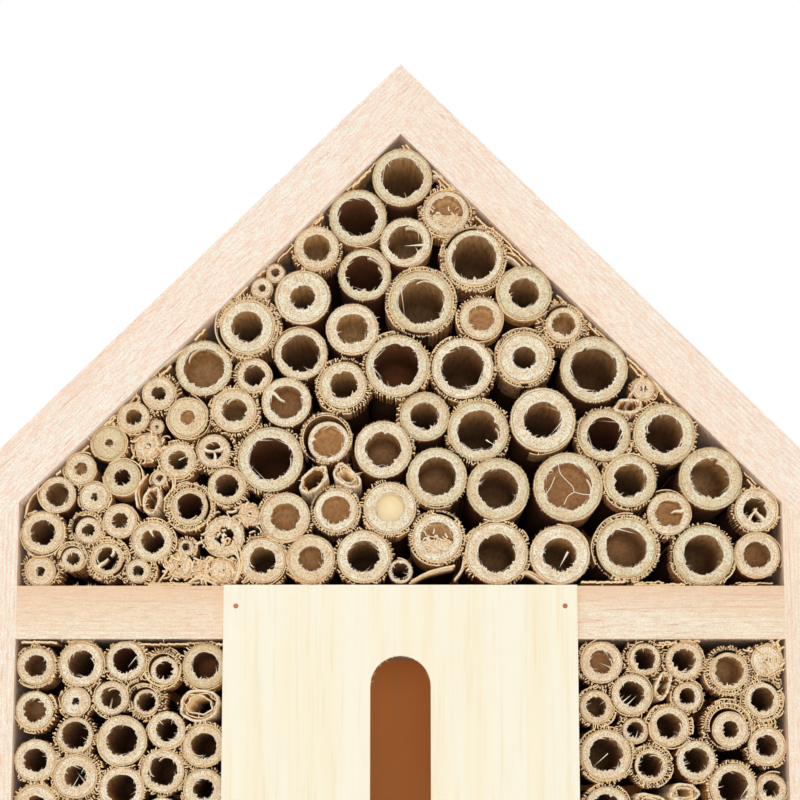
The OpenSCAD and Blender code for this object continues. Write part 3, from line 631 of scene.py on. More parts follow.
# Arms that cross the bore of a split reed: (angle in degrees, share of the bore's radius)
BRIDGED = {
    (-54, 365.5): [(170, 1.0), (20, 1.0), (285, 1.0)], (-84, 334): [(50, 0.6), (225, 1.1)],
    (102, 348): [(235, 1.2), (305, 1.2)], (70.5, 383.5): [(90, 1.0), (270, 1.0)],
    (-71, 339): [(95, 0.55)], (-50.5, 340.5): [(265, 0.8)], (77, 347): [(20, 0.8)],
    (-33, 379.5): [(150, 0.9)],
}
# Splinters at the mouths: from (x, z) to (x, z), and width, in millimetres
SPLINTERS = [
    (47.8, 336, 45.3, 331.3, 0.8), (24.7, 368.5, 27.2, 366.8, 0.5), (7.2, 426.5, 1.0, 425.8, 1.1),
    (6.3, 423.0, 4.2, 425.6, 1.0), (58.5, 279, 54, 275, 0.4), (97.5, 269.5, 95, 266, 0.4),
    (-68.5, 364.2, -64.5, 364.5, 0.5), (-63.8, 362.6, -60.8, 364.0, 0.5), (-66.0, 306.5, -70.6, 302.6, 0.6),
    (-75.0, 306.2, -77.4, 303.0, 0.4), (-62.4, 302.0, -65.6, 305.8, 0.4),
]
# Threads that hang across the mouth of one reed: (x, z) points in millimetres
THREADS = [
    [(45.3, 361.5), (45.8, 358.6), (47.8, 356.2), (49.3, 354.6), (49.8, 353.0)],
    [(49.8, 353.0), (52.2, 352.4), (54.6, 352.2)], [(49.8, 353.0), (48.0, 351.8), (46.8, 349.4)],
    [(44.3, 357.4), (43.0, 354.4), (41.6, 352.2)],
]
# Loose strips of sheath that lie in the gaps: (x, z) points in millimetres
SCRAPS = [
    [(-108, 346), (-106.5, 351), (-101, 356.5)], [(-72, 387), (-68, 391), (-63, 395)],
    [(-62, 399), (-58, 403), (-53, 407)], [(9.5, 447), (13, 446.5), (16, 443)],
    [(30.5, 423), (33.5, 421.5), (37, 417)], [(66, 381), (69.5, 386), (71.5, 391)],
    [(76, 382), (73, 386.5), (70, 391)], [(15.5, 328), (17.5, 331), (18.3, 335)],
    [(30, 327), (35.5, 330), (41, 327)], [(2.5, 327), (8, 329.8), (15, 331.5)],
    [(-61, 327), (-57.5, 328.6), (-53, 327)], [(-47, 337), (-46, 332), (-47.5, 327)],
    [(-69.5, 327), (-67, 331), (-68.5, 335)], [(-45.5, 327.5), (-42, 329), (-39, 326.8)],
    [(-68, 351), (-65.5, 355), (-66.5, 360)], [(-75.5, 349), (-76, 353.5), (-73.5, 358)],
]


def nearest(entries, x, z, reach=1.2):
    """The entry whose first two numbers lie within reach of a point, all in millimetres."""
    for entry in entries:
        if math.hypot(x / MM - entry[0], z / MM - entry[1]) < reach:
            return entry
    return None


class Reed:
    """Sizes of one reed, read from its solid in the frame."""

    def __init__(self, points, number):
        x, y, z = points.T
        self.x = (x.min() + x.max()) / 2
        self.z = (z.min() + z.max()) / 2
        distance = np.hypot(x - self.x, z - self.z)
        self.outer = distance.max()
        self.front = y.min()
        self.back = y.max()
        self.bore = distance[y < self.front + 0.01 * MM].min()
        inner = np.unique(np.round(y[distance < self.bore + 0.05 * MM], 5))
        self.joint = inner[1]
        self.joint_back = inner[2]
        self.rng = np.random.default_rng(900 + number)
        self.values = {}

    def listed(self, centres):
        return nearest(centres, self.x, self.z)

    def out(self, angle, radius, y):
        """The point at that angle and radius from the reed's axis."""
        angle, radius, y = np.broadcast_arrays(angle, radius, y)
        return np.stack([self.x + radius * np.cos(angle), y, self.z + radius * np.sin(angle)], -1)


def reed_body(shell, reed, core):
    """The reed itself: joint, bore, torn inner lip, cut face, outside, and the hollow behind the joint."""
    rng = reed.rng
    around = int(np.clip(TURN * core / (0.5 * MM), 44, 120))
    angle = np.arange(around) * TURN / around
    below = 0.5 - 0.5 * np.sin(angle)
    bore = reed.bore * (1 + 0.03 * waves(rng, around, 2, 5))
    outer = core * (0.992 + 0.012 * waves(rng, around, 2, 6))
    bore = np.minimum(bore, outer - 0.5 * MM)
    teeth = np.maximum(0, rng.normal(size=around)) * (0.10 + 0.28 * below) * MM
    flap = np.zeros(around)
    for _ in range(rng.integers(1, 5)):
        middle = rng.normal(-TURN / 4, 1.3)
        width = rng.uniform(0.06, 0.2)
        away = (angle - middle + TURN / 2) % TURN - TURN / 2
        flap += rng.uniform(0.25, 0.8) * MM * np.exp(-(away / width) ** 2)
    flap = np.minimum(flap, 0.3 * reed.bore)
    lip = np.maximum(bore - teeth - flap, 0.25 * reed.bore)
    tilt = rng.uniform(-0.03, 0.03, 2)
    saw = waves(rng, around, 3, 24, 0.5) * 0.12 * MM
    grit = rng.normal(size=(12, around)) * 0.05 * MM

    def cut(radius, rough):
        return reed.front + tilt[0] * radius * np.cos(angle) + tilt[1] * radius * np.sin(angle) + saw + rough

    depth = reed.joint - reed.front
    sag = min(0.25 * reed.bore, 1.0 * MM)
    rings, radial = [], []

    def ring(radius, y, value):
        rings.append(reed.out(angle, radius, y))
        radial.append(np.full(around, value))

    # The joint takes the radial AT_JOINT, which the skin paint shows in the bore's deepest painted shade.
    ring(0.30 * bore, reed.joint + sag, AT_JOINT)
    ring(0.70 * bore, reed.joint + 0.6 * sag, AT_JOINT)
    ring(0.97 * bore, reed.joint - 0.3 * MM, -depth / MM * RADIAL_PER_MM)
    for share in (0.62, 0.30, 0.12):
        wall = bore * (1 + 0.02 * waves(rng, around, 2, 9))
        ring(wall, reed.front + share * depth, -share * depth / MM * RADIAL_PER_MM)
    near = min(1.8 * MM, 0.08 * depth)
    ring(bore - 0.25 * flap, reed.front + near, -near / MM * RADIAL_PER_MM)
    ring(bore - 0.75 * flap - 0.3 * teeth, reed.front + 0.45 * near, -0.45 * near / MM * RADIAL_PER_MM)
    ring(lip, cut(lip, 0.16 * MM + grit[0]), 0.0)
    ring(lip + 0.10 * MM, cut(lip, grit[1]), 0.04)
    for k, share in enumerate((0.14, 0.28, 0.42, 0.56, 0.70, 0.83, 0.93)):
        radius = lip + (outer - lip) * share
        ring(radius, cut(radius, grit[2 + k] + (0.05 * MM if share > 0.9 else 0)), share)
    ring(outer, cut(outer, 0.20 * MM + grit[10]), 1.0)
    # Radial rises along the outside, so the skin paint darkens it further back: painted shade.
    skin = outer * 0.997
    for away in (0.7, 2.0, 5.0, 14.0, 34.0, 62.0):
        bulge = 1 + 0.008 * waves(rng, around, 2, 5)
        ring(np.minimum(skin * bulge, core), reed.front + away * MM, 1 + away * RADIAL_PER_MM)
    ring(skin, reed.back - 0.2 * MM, AT_REAR)
    ring(skin - 0.2 * MM, reed.back, AT_REAR)
    ring(bore, reed.back, BEHIND_JOINT)
    ring(bore, reed.joint_back + 0.3 * MM, BEHIND_JOINT)
    ring(0.5 * bore, reed.joint_back, BEHIND_JOINT)
    poles = [AT_JOINT, BEHIND_JOINT]
    shell.rings(rings, "reed_skin", radial=np.concatenate(radial + [poles]), **reed.values)


def reed_burrs(shell, reed, number):
    """Torn fibres at the mouth of the bore, most of them at the bottom."""
    rng = reed.rng
    for _ in range(number):
        angle = rng.normal(-TURN / 4, 1.4)
        length = rng.gamma(2.0, 0.24) * MM
        base = reed.out(angle, reed.bore + 0.15 * MM, reed.front + rng.uniform(0.1, 0.7) * MM)
        swing = angle + rng.normal(0, 0.35)
        reach = max(reed.bore - length, 0.2 * reed.bore)
        tip = reed.out(swing, reach, reed.front + rng.uniform(-0.2, 0.9) * MM)
        shell.splinter(base, tip, rng.uniform(0.2, 0.42) * MM)


def reed_fringe(shell, reed, core, fullness):
    """The frayed outer edge: fine pale teeth all round, and longer brown ones in patches."""
    rng = reed.rng
    patches = waves(rng, 360, 1, 5)
    for pitch, reach, width, paint in ((0.36, 0.09, 0.36, "film"), (0.62, 0.15, 0.5, "sheath")):
        for k in range(int(TURN * core / (pitch * MM))):
            angle = k * pitch * MM / core + rng.normal(0, 0.03)
            if paint == "sheath" and patches[int(math.degrees(angle)) % 360] > 2 * fullness - 1:
                continue
            near = reed.front + rng.uniform(-0.1, 0.3) * MM
            base = reed.out(angle, core - 0.25 * MM, near + 0.5 * MM)
            tip = reed.out(angle + rng.normal(0, 0.04), core + (0.08 + rng.gamma(2.0, reach)) * MM, near)
            shell.splinter(base, tip, width * rng.uniform(0.7, 1.2) * MM, paint=paint)


def sheath_band(shell, reed, angle, inside, outside, front, back):
    """A leaf sheath cut across: a comb of ribs, with short stretches of the skin that joined them."""
    rng = reed.rng
    wander = np.interp(angle, np.linspace(angle[0], angle[-1], 6), rng.uniform(-0.2, 0.2, 6)) * MM
    reach = outside + wander + 0.05 * MM * rng.normal(size=len(angle))
    path = np.stack([reed.x + reach * np.cos(angle), reed.z + reach * np.sin(angle)], 1)
    start = rng.integers(0, 40)
    while start < len(path) - 3:
        end = start + rng.integers(4, 22)
        piece = path[start:end]
        if len(piece) > 2:
            ragged = rng.uniform(-0.3, 0.3, len(piece)) * MM
            shell.sheet(piece, rng.uniform(0.24, 0.40) * MM, front, back, ragged)
        start = end + rng.integers(4, 30)
    turn = angle[0]
    while turn < angle[-1]:
        turn += rng.gamma(9.0, 0.085) * MM / outside
        lean = rng.normal(0, 0.18) * MM / outside
        near = inside + rng.uniform(-0.2, 0.15) * MM
        far = outside + rng.uniform(-0.35, 0.35) * MM
        ends = [[reed.x + radius * math.cos(swing), reed.z + radius * math.sin(swing)]
                for radius, swing in ((near, turn - lean), (far, turn + lean))]
        shell.sheet(ends, rng.uniform(0.20, 0.40) * MM, front + rng.uniform(-0.5, 0.9) * MM, back)


def reed_sheath(shell, reed, core):
    """A leaf sheath that goes most of the way round the reed."""
    rng = reed.rng
    start = rng.uniform(0, TURN)
    sweep = rng.uniform(0.72, 0.97) * TURN
    front = reed.front + rng.uniform(0.2, 0.5) * MM
    inside, outside = core + 0.12 * MM, reed.outer - 0.1 * MM
    angle = start + np.linspace(0, sweep, int(sweep * outside / (0.5 * MM)))
    skin = arc(reed.x, reed.z, inside, start, sweep)
    shell.sheet(skin, 0.24 * MM, front, front + 20 * MM)
    sheath_band(shell, reed, angle, inside, outside, front, front + 20 * MM)


def in_house(x, z, margin):
    """Whether each point lies in the attic or in a side bay, clear of the boards by the margin."""
    level = np.abs(x)
    attic = (z > ATTIC_FLOOR + margin) & (level < WALL_IN - margin) & (level + z < RIDGE_IN - 1.4 * margin)
    bay = (z > BAY_FLOOR + margin) & (z < BAY_CEILING - margin)
    bay &= (level > DIVIDER_OUT + margin) & (level < WALL_IN - margin)
    return attic | bay


def free_runs(x, z, circles, margin):
    """The stretches of a line of points that stay inside the house and clear of the circles."""
    gap = np.hypot(x[:, None] - circles[:, 0], z[:, None] - circles[:, 1]) - circles[:, 2]
    free = np.flatnonzero(in_house(x, z, 0.3 * MM) & (gap.min(1) > margin))
    return [run for run in np.split(free, np.flatnonzero(np.diff(free) > 1) + 1) if len(run) > 4]


def gap_sheaths(shell, reed, circles, layers):
    """Ribbed sheaths wrapped round a reed, wherever it leaves a gap to its neighbours."""
    rng = reed.rng
    apart = np.hypot(circles[:, 0] - reed.x, circles[:, 1] - reed.z)
    others = circles[(apart > 0.1 * MM) & (apart < reed.outer + circles[:, 2] + 5 * MM)]
    outside = reed.outer
    for _ in range(layers):
        inside = outside + rng.uniform(0.05, 0.35) * MM
        outside = inside + rng.uniform(0.5, 0.85) * MM
        steps = int(TURN * outside / (0.4 * MM))
        angle = rng.uniform(0, TURN) + np.arange(steps) * TURN / steps
        x = reed.x + outside * np.cos(angle)
        z = reed.z + outside * np.sin(angle)
        for run in free_runs(x, z, others, 0.1 * MM):
            if rng.random() < 0.8:
                front = reed.front + rng.uniform(-0.4, 1.6) * MM
                sheath_band(shell, reed, angle[run], inside, outside, front, front + 9 * MM)


def reed_curls(shell, reed, number):
    """Thin dry skins that peel away from the outside of the reed."""
    rng = reed.rng
    for _ in range(number):
        start = rng.uniform(0, TURN)
        sweep = rng.uniform(0.8, 3.2) * rng.choice([-1, 1])
        path = arc(reed.x, reed.z, reed.outer + rng.uniform(-0.05, 0.15) * MM, start, sweep,
                   lift=rng.uniform(0.0, 0.9) * MM, wobble=0.12 * MM, rng=rng)
        front = reed.front + rng.uniform(-0.2, 1.2) * MM
        ragged = rng.uniform(-0.3, 0.3, len(path)) * MM
        shell.sheet(path, rng.uniform(0.18, 0.34) * MM, front, front + rng.uniform(8, 20) * MM, ragged)


def reed_peel(shell, reed, number):
    """Pale skins that come away from the wall of the bore."""
    rng = reed.rng
    for _ in range(number):
        path = arc(reed.x, reed.z, reed.bore * 0.985, rng.uniform(0, TURN), rng.uniform(0.6, 1.8),
                   lift=-rng.uniform(0.3, 1.2) * MM, wobble=0.08 * MM, rng=rng)
        front = reed.front + rng.uniform(0.1, 0.9) * MM
        ragged = rng.uniform(-0.2, 0.5, len(path)) * MM
        shell.sheet(path, 0.22 * MM, front, front + rng.uniform(3, 7) * MM, ragged, paint="film")


def reed_arms(shell, reed, arms):
    """Folded skins that cross the bore of a split reed, thick at the wall and thin in the middle."""
    rng = reed.rng
    for degrees, share in arms:
        angle = math.radians(degrees)
        reach = np.linspace(1.08, 1.0 - share, 8) * reed.bore
        swing = angle + 0.12 * np.sin(np.linspace(0, 5, 8) + rng.uniform(0, TURN))
        path = np.stack([reed.x + reach * np.cos(swing), reed.z + reach * np.sin(swing)], 1)
        front = reed.front + rng.uniform(0.0, 0.4) * MM
        ragged = rng.uniform(-0.2, 0.3, len(path)) * MM
        shell.sheet(path, np.linspace(1.0, 0.3, 8) * MM, front, front + 6 * MM, ragged, paint="film")


def reed_tatters(shell, reed, number):
    """Short curled shreds that hide the mouth of a torn reed."""
    rng = reed.rng
    for _ in range(number):
        angle = rng.uniform(0, TURN)
        place = reed.out(angle, reed.outer * rng.uniform(0.25, 1.2), 0.0)[[0, 2]]
        heading = angle + rng.normal(TURN / 4, 0.8)
        bend = rng.normal(0, 0.45)
        steps = rng.integers(3, 7)
        turns = heading + bend * np.arange(steps)
        path = place + np.cumsum(np.stack([np.cos(turns), np.sin(turns)], 1), 0) * 0.6 * MM
        front = reed.front + rng.uniform(-1.4, 1.0) * MM
        shell.sheet(path, rng.uniform(0.25, 0.6) * MM, front, front + rng.uniform(2, 7) * MM,
                    paint="film" if rng.random() < 0.4 else "sheath")


def reed_splinters(shell, reed):
    """The splinters listed for this reed's mouth."""
    for x0, z0, x1, z1, width in SPLINTERS:
        middle = ((x0 + x1) / 2 * MM - reed.x, (z0 + z1) / 2 * MM - reed.z)
        if math.hypot(*middle) < reed.outer:
            base = (x0 * MM, reed.front + 0.6 * MM, z0 * MM)
            tip = (x1 * MM, reed.front - 0.2 * MM, z1 * MM)
            shell.splinter(base, tip, width * MM)


def reed_threads(shell, reed):
    """The threads listed for this reed's mouth."""
    for thread in THREADS:
        path = smooth_path(thread, 4)
        if math.hypot(path[0][0] - reed.x, path[0][1] - reed.z) < reed.outer:
            shell.sheet(path, 0.18 * MM, reed.front + 0.1 * MM, reed.front + 0.28 * MM, paint="pale_fibre")


def reed_needles(shell, reed, number):
    """Long pale splinters across the mouth."""
    rng = reed.rng
    for _ in range(number):
        angle = rng.normal(-TURN / 4, 0.9)
        base = reed.out(angle, reed.bore * 1.0, reed.front + rng.uniform(0.2, 1.5) * MM)
        tip = reed.out(angle + rng.uniform(1.6, 4.4), reed.bore * rng.uniform(0.0, 0.5),
                       reed.front + rng.uniform(-0.5, 2.5) * MM)
        shell.splinter(base, tip, rng.uniform(0.35, 0.6) * MM)


def reed_film(shell, reed):
    """A pale skin that closes the bore like a bowl."""
    around = 40
    angle = np.arange(around) * TURN / around
    rings = []
    for share in (0.12, 0.3, 0.48, 0.64, 0.8, 0.92, 1.0):
        dish = (1 - share ** 2.5) * 1.3 * reed.bore
        lump = waves(reed.rng, around, 1, 5) * 0.15 * MM * (1 - share)
        rings.append(reed.out(angle, reed.bore * share * 0.99, reed.front + 0.8 * MM + dish + lump))
    rings.append(rings[-1] + (0, 2 * MM, 0))
    shell.rings(rings, "bowl")


def reed_packing(shell, reed):
    """Torn pith that fills the lower part of the bore, with a hollow above it that is painted dark as painted
    shade.
    """
    rng = reed.rng
    around = 32
    angle = np.arange(around) * TURN / around
    rings, radial = [], []
    pith = 0.3
    for share in (0.15, 0.35, 0.55, 0.75, 0.9, 1.0):
        lump = waves(rng, around, 1, 11, 0.4) * 1.1 * MM * (1 - 0.7 * share)
        high = np.clip(1.6 * share * np.sin(angle) + 0.15, 0, 1)
        rings.append(reed.out(angle, reed.bore * share * 0.99, reed.front + 1.6 * MM + lump + high * 11 * MM))
        # The deeper upper part of the pith takes the joint's radial, so it is painted in the bore's deepest
        # shade: painted shade of the hollow.
        radial.append(pith + (AT_JOINT - pith) * np.minimum(1, 2.5 * high))
    rings.append(rings[-1] + (0, 2 * MM, 0))
    radial.append(radial[-1])
    # Glow 0 gives the hollow the darkest wall colour, part of its painted shade.
    values = {**reed.values, "glow": 0.0}
    shell.rings(rings, "reed_skin", radial=np.concatenate(radial + [[pith, AT_JOINT]]), **values)
    for _ in range(46):
        place = rng.uniform(-1, 1, 2) * (0.85, 0.55) * reed.bore - (0, 0.35 * reed.bore)
        if np.hypot(*place) > 0.95 * reed.bore:
            continue
        turns = rng.uniform(0, TURN) + rng.normal(0, 0.5) * np.arange(4)
        path = (reed.x, reed.z) + place + np.cumsum(np.stack([np.cos(turns), np.sin(turns)], 1), 0) * 0.5 * MM
        front = reed.front + rng.uniform(0.2, 2.4) * MM
        shell.sheet(path, rng.uniform(0.2, 0.5) * MM, front, front + rng.uniform(1, 3) * MM,
                    paint="film" if rng.random() < 0.6 else "sheath")


REED_VALUES = ("radial", "green", "tone", "glow")
REED_PAINTS = ["reed_skin", "pale_fibre", "sheath", "film", "bowl"]


def make_reed(node, reed, circles, slot, name):
    rng = reed.rng
    shell = Shell(REED_PAINTS, REED_VALUES)
    sheathed = reed.listed(SHEATHED)
    loose = reed.listed(LOOSE)
    shredded = reed.listed(SHREDDED)
    core = reed.outer
    if sheathed:
        core -= 1.1 * MM
    if loose:
        core = 0.80 * reed.outer
    reed.bore = min(reed.bore, core - 0.9 * MM)
    glow = rng.uniform(0.45, 0.95)
    if reed.listed(PALE_BORES):
        glow = rng.uniform(0.85, 1.0)
    if reed.listed(DARK_BORES):
        glow = rng.uniform(0.0, 0.1)
    reed.values = {
        "green": rng.uniform(0.75, 1.0) if reed.listed(GREEN) else rng.uniform(0, 0.35),
        "tone": rng.uniform(0.2, 1.0) if reed.outer < 7.2 * MM else rng.uniform(0.0, 0.35),
        "glow": glow,
    }
    centre = reed.x, reed.z
    if loose:
        reed.x += 0.10 * reed.outer
        reed.z -= 0.14 * reed.outer
    reed_body(shell, reed, core)
    reed_burrs(shell, reed, int(reed.bore / MM * 6 + 6))
    if reed.bore > 3.2 * MM and rng.random() < 0.4:
        reed_peel(shell, reed, rng.integers(1, 3))
    if slot == "bay_reed" and rng.random() < 0.15:
        reed_needles(shell, reed, rng.integers(1, 3))
    bridged = reed.listed(BRIDGED)
    if bridged:
        reed_arms(shell, reed, BRIDGED[bridged])
    reed.x, reed.z = centre
    if sheathed:
        reed_sheath(shell, reed, core)
    elif loose:
        reed_sheath(shell, reed, reed.outer - 0.9 * MM)
    reed_fringe(shell, reed, reed.outer - 0.1 * MM, rng.uniform(0.2, 0.8))
    small = reed.outer < 7.2 * MM
    gap_sheaths(shell, reed, circles, rng.choice([0, 1, 1, 1, 2] if small else [0, 0, 0, 1, 1]))
    reed_curls(shell, reed, rng.integers(1, 4) if small else rng.integers(0, 2))
    if shredded:
        reed_tatters(shell, reed, 50)
    reed_splinters(shell, reed)
    if reed.listed(FILMED):
        reed_film(shell, reed)
    if reed.listed(PACKED):
        reed_packing(shell, reed)
    reed_threads(shell, reed)
    shell.piece(name, slot, node)


class FlatReed:
    """Sizes of one crushed reed, read from its solid in the frame."""

    def __init__(self, points):
        flat = points[points[:, 1] < points[:, 1].min() + 0.01 * MM][:, [0, 2]]
        self.middle = (flat.min(0) + flat.max(0)) / 2
        self.along = np.linalg.svd(flat - flat.mean(0), full_matrices=False)[2][0]
        self.across = np.array([-self.along[1], self.along[0]])
        self.half_long = np.abs((flat - self.middle) @ self.along).max()
        self.half_short = np.abs((flat - self.middle) @ self.across).max()
        self.front = points[:, 1].min()
        self.back = points[:, 1].max()

    def circles(self):
        """Circles that cover it: x, z and radius of each."""
        reach = self.half_long - self.half_short
        middles = [self.middle + shift * reach * self.along for shift in (-1, -0.5, 0, 0.5, 1)]
        return [[*middle, self.half_short] for middle in middles]


def make_crushed_reed(number, flat):
    """A reed squashed flat: skins folded one inside another, with torn edges."""
    rng = np.random.default_rng(500 + number)
    shell = Shell(REED_PAINTS, REED_VALUES)
    around = 64
    angle = np.arange(around + 1) * TURN / around
    skins = [(0.97, 0.7, "film"), (0.82, 0.35, "sheath"), (0.62, 0.4, "film")]
    for size, thick, paint in skins[:2 + number % 2]:
        pinch = 1 + 0.12 * np.append(waves(rng, around, 2, 7), 0)
        pinch[-1] = pinch[0]
        u = flat.half_long * size * np.sign(np.cos(angle)) * np.abs(np.cos(angle)) ** 0.8 * pinch * 0.95
        v = flat.half_short * size * np.sin(angle) * pinch * 0.95
        path = flat.middle + u[:, None] * flat.along + v[:, None] * flat.across
        ragged = rng.uniform(-0.6, 0.4, len(path)) * MM
        shell.sheet(path, thick * MM, flat.front + (1 - size) * 0.8 * MM, flat.back, ragged, paint=paint)
    for _ in range(36):
        turn = rng.uniform(0, TURN)
        reach = rng.uniform(0.7, 1.05)
        base = (flat.middle + flat.half_long * reach * math.cos(turn) * flat.along
                + flat.half_short * reach * math.sin(turn) * flat.across)
        tip = base + rng.normal(0, 0.9, 2) * MM
        shell.splinter((base[0], flat.front + 0.6 * MM, base[1]),
                       (tip[0], flat.front + rng.uniform(-0.8, 0.8) * MM, tip[1]),
                       rng.uniform(0.25, 0.5) * MM, paint="pale_fibre" if rng.random() < 0.6 else "sheath")
    shell.piece(f"crushed_reed_{number + 1}", "crushed_reed", "crushed_reeds")


def make_scraps(circles):
    """Loose strips of sheath and film in the gaps between the reeds, under the roof and along the shelf."""
    rng = np.random.default_rng(70)
    shell = Shell(REED_PAINTS, REED_VALUES)
    for scrap in SCRAPS:
        path = smooth_path(scrap)
        for shift in (0.0, rng.uniform(0.5, 0.9)):
            front = FRONT + rng.uniform(2.5, 4.5) * MM
            ragged = rng.uniform(-0.4, 0.4, len(path)) * MM
            shell.sheet(path + shift * MM, rng.uniform(0.3, 0.6) * MM, front, front + 12 * MM, ragged,
                        paint="sheath" if shift else "film")
    for side in (-1, 1):
        fall = np.arange(0, WALL_IN - 6 * MM, 0.5 * MM)
        across = np.arange(DIVIDER_OUT + MM, WALL_IN - MM, 0.5 * MM)
        lines = [(side * fall, RIDGE_IN - fall - away * 1.41 * MM) for away in (0.6, 1.4)]
        levels = [BAY_CEILING - away * MM for away in (0.4, 0.9, 1.5)]
        levels += [ATTIC_FLOOR + away * MM for away in (0.5, 1.2)]
        lines += [(side * across, np.full_like(across, level)) for level in levels]
        for x, z in lines:
            for run in free_runs(x, z, circles, 0.15 * MM):
                first = rng.integers(0, len(run) // 2)
                run = run[first:first + rng.integers(8, 40)]
                if len(run) > 3 and rng.random() < 0.6:
                    path = np.stack([x[run], z[run]], 1) + rng.normal(0, 0.12, (len(run), 2)) * MM
                    front = FRONT + rng.uniform(1.0, 5.0) * MM
                    shell.sheet(path, rng.uniform(0.3, 0.7) * MM, front, front + 12 * MM)
    shell.piece("loose_sheaths", "crushed_reed")


def make_edge_fuzz():
    """Fibres that a coarse saw leaves on the front edges of the boards and round the slot's top."""
    rng = np.random.default_rng(31)
    shell = Shell(REED_PAINTS, REED_VALUES)
    per_edge, round_slot = 70, 60
    low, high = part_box("butterfly_panel")
    half_slot = SLOT_WIDTH / 2
    slot_top = high.z - SLOT_DROP - half_slot
    edges = []
    for side in (-1, 1):
        for level, up in ((ATTIC_FLOOR, 1), (BAY_CEILING, -1), (BAY_FLOOR, 1), (LOWER_SHELF, -1)):
            for _ in range(per_edge):
                x = side * rng.uniform(DIVIDER_OUT + 5 * MM, WALL_IN)
                edges.append((x, FRONT, level, 0, up))
        for _ in range(per_edge):
            fall = rng.uniform(10 * MM, WALL_IN)
            edges.append((side * fall, FRONT, RIDGE_IN - fall, -side, -1))
    for _ in range(round_slot):
        turn = rng.uniform(0, TURN / 2)
        edges.append((half_slot * math.cos(turn), low.y, slot_top + half_slot * math.sin(turn),
                      -math.cos(turn), -math.sin(turn)))
    for x, y, z, away_x, away_z in edges:
        length = rng.gamma(2.0, 0.2) * MM
        drift = rng.normal(0, 0.5, 2) * length
        base = (x - 0.2 * MM * away_x, y + 0.2 * MM, z - 0.2 * MM * away_z)
        tip = (x + length * away_x + drift[0], y + rng.uniform(0, 0.4) * MM, z + length * away_z + drift[1])
        shell.splinter(base, tip, rng.uniform(0.2, 0.4) * MM,
                       paint="film" if rng.random() < 0.6 else "sheath")
    shell.piece("edge_fuzz", "board_wood")


def make_reeds():
    reeds = []
    for node in sorted(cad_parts):
        if "_reeds_" in node:
            for k, points in enumerate(solids(node)):
                name = f"{node.replace('_reeds_', '_reed_')}_{k + 1}"
                reeds.append((node, name, Reed(points, len(reeds))))
    flats = [FlatReed(points) for points in solids("crushed_reeds")]
    circles = [[reed.x, reed.z, reed.outer] for node, name, reed in reeds]
    for flat in flats:
        circles += flat.circles()
    circles = np.array(circles)
    for node, name, reed in reeds:
        slot = "attic_reed" if node.startswith("attic") else "bay_reed"
        make_reed(node, reed, circles, slot, name)
    for number, flat in enumerate(flats):
        make_crushed_reed(number, flat)
    make_scraps(circles)


# Pine cones

# How far each cone of the left and then the right bay leans over, in degrees
CONE_LEANS = [50, -65, 120, 60, -40, 75, -55, 135, 45, -70, 55, -125]
CONE_LENGTH = 54 * MM
CONE_RADIUS = 23 * MM
# Turn from one scale of a cone to the next
GOLDEN_ANGLE = 2.39996


def cone_swell(share):
    """Width of a cone at a share of its length, as in the frame."""
    return math.sin(math.radians(180 * share ** 0.8 * 0.9 + 12))


def cone_scale(length, width, thick):
    """One woody scale that reaches out along X, with its upper side along Z: points, faces, tip value."""
    columns, rows = 7, 8
    points, tips = [], []
    for top in (1, -1):
        for i in range(rows):
            u = i / (rows - 1)
            half = width / 2 * (0.30 + 0.70 * math.sin(math.pi * min(0.5, u * 0.62)))
            if u >= 0.8:
                half *= math.sqrt(max(0.03, 1 - ((u - 0.8) / 0.2) ** 2 * 0.92))
            for j in range(columns):
                v = 2 * j / (columns - 1) - 1
                lip = thick * (0.35 + 1.1 * math.exp(-((u - 0.9) / 0.12) ** 2)) * (1 - 0.55 * v * v)
                curve = 0.16 * length * u * u - 0.10 * width * v * v
                level = curve + top * lip / 2
                if top > 0:
                    level += 0.5 * thick * math.exp(-((u - 0.93) / 0.06) ** 2 - (v / 0.3) ** 2)
                points.append((length * u * (1 - 0.04 * v * v), half * v, level))
                tips.append(u)
    faces = []
    size = rows * columns
    for i in range(rows - 1):
        for j in range(columns - 1):
            a = i * columns + j
            faces.append([a, a + columns, a + columns + 1, a + 1])
            faces.append([size + a, size + a + 1, size + a + columns + 1, size + a + columns])
    rim = list(range(columns))
    rim += [i * columns + columns - 1 for i in range(1, rows)]
    rim += [(rows - 1) * columns + j for j in range(columns - 2, -1, -1)]
    rim += [i * columns for i in range(rows - 2, 0, -1)]
    for a, b in zip(rim, rim[1:] + rim[:1]):
        faces.append([a, b, size + b, size + a])
    return np.array(points), faces, np.array(tips)


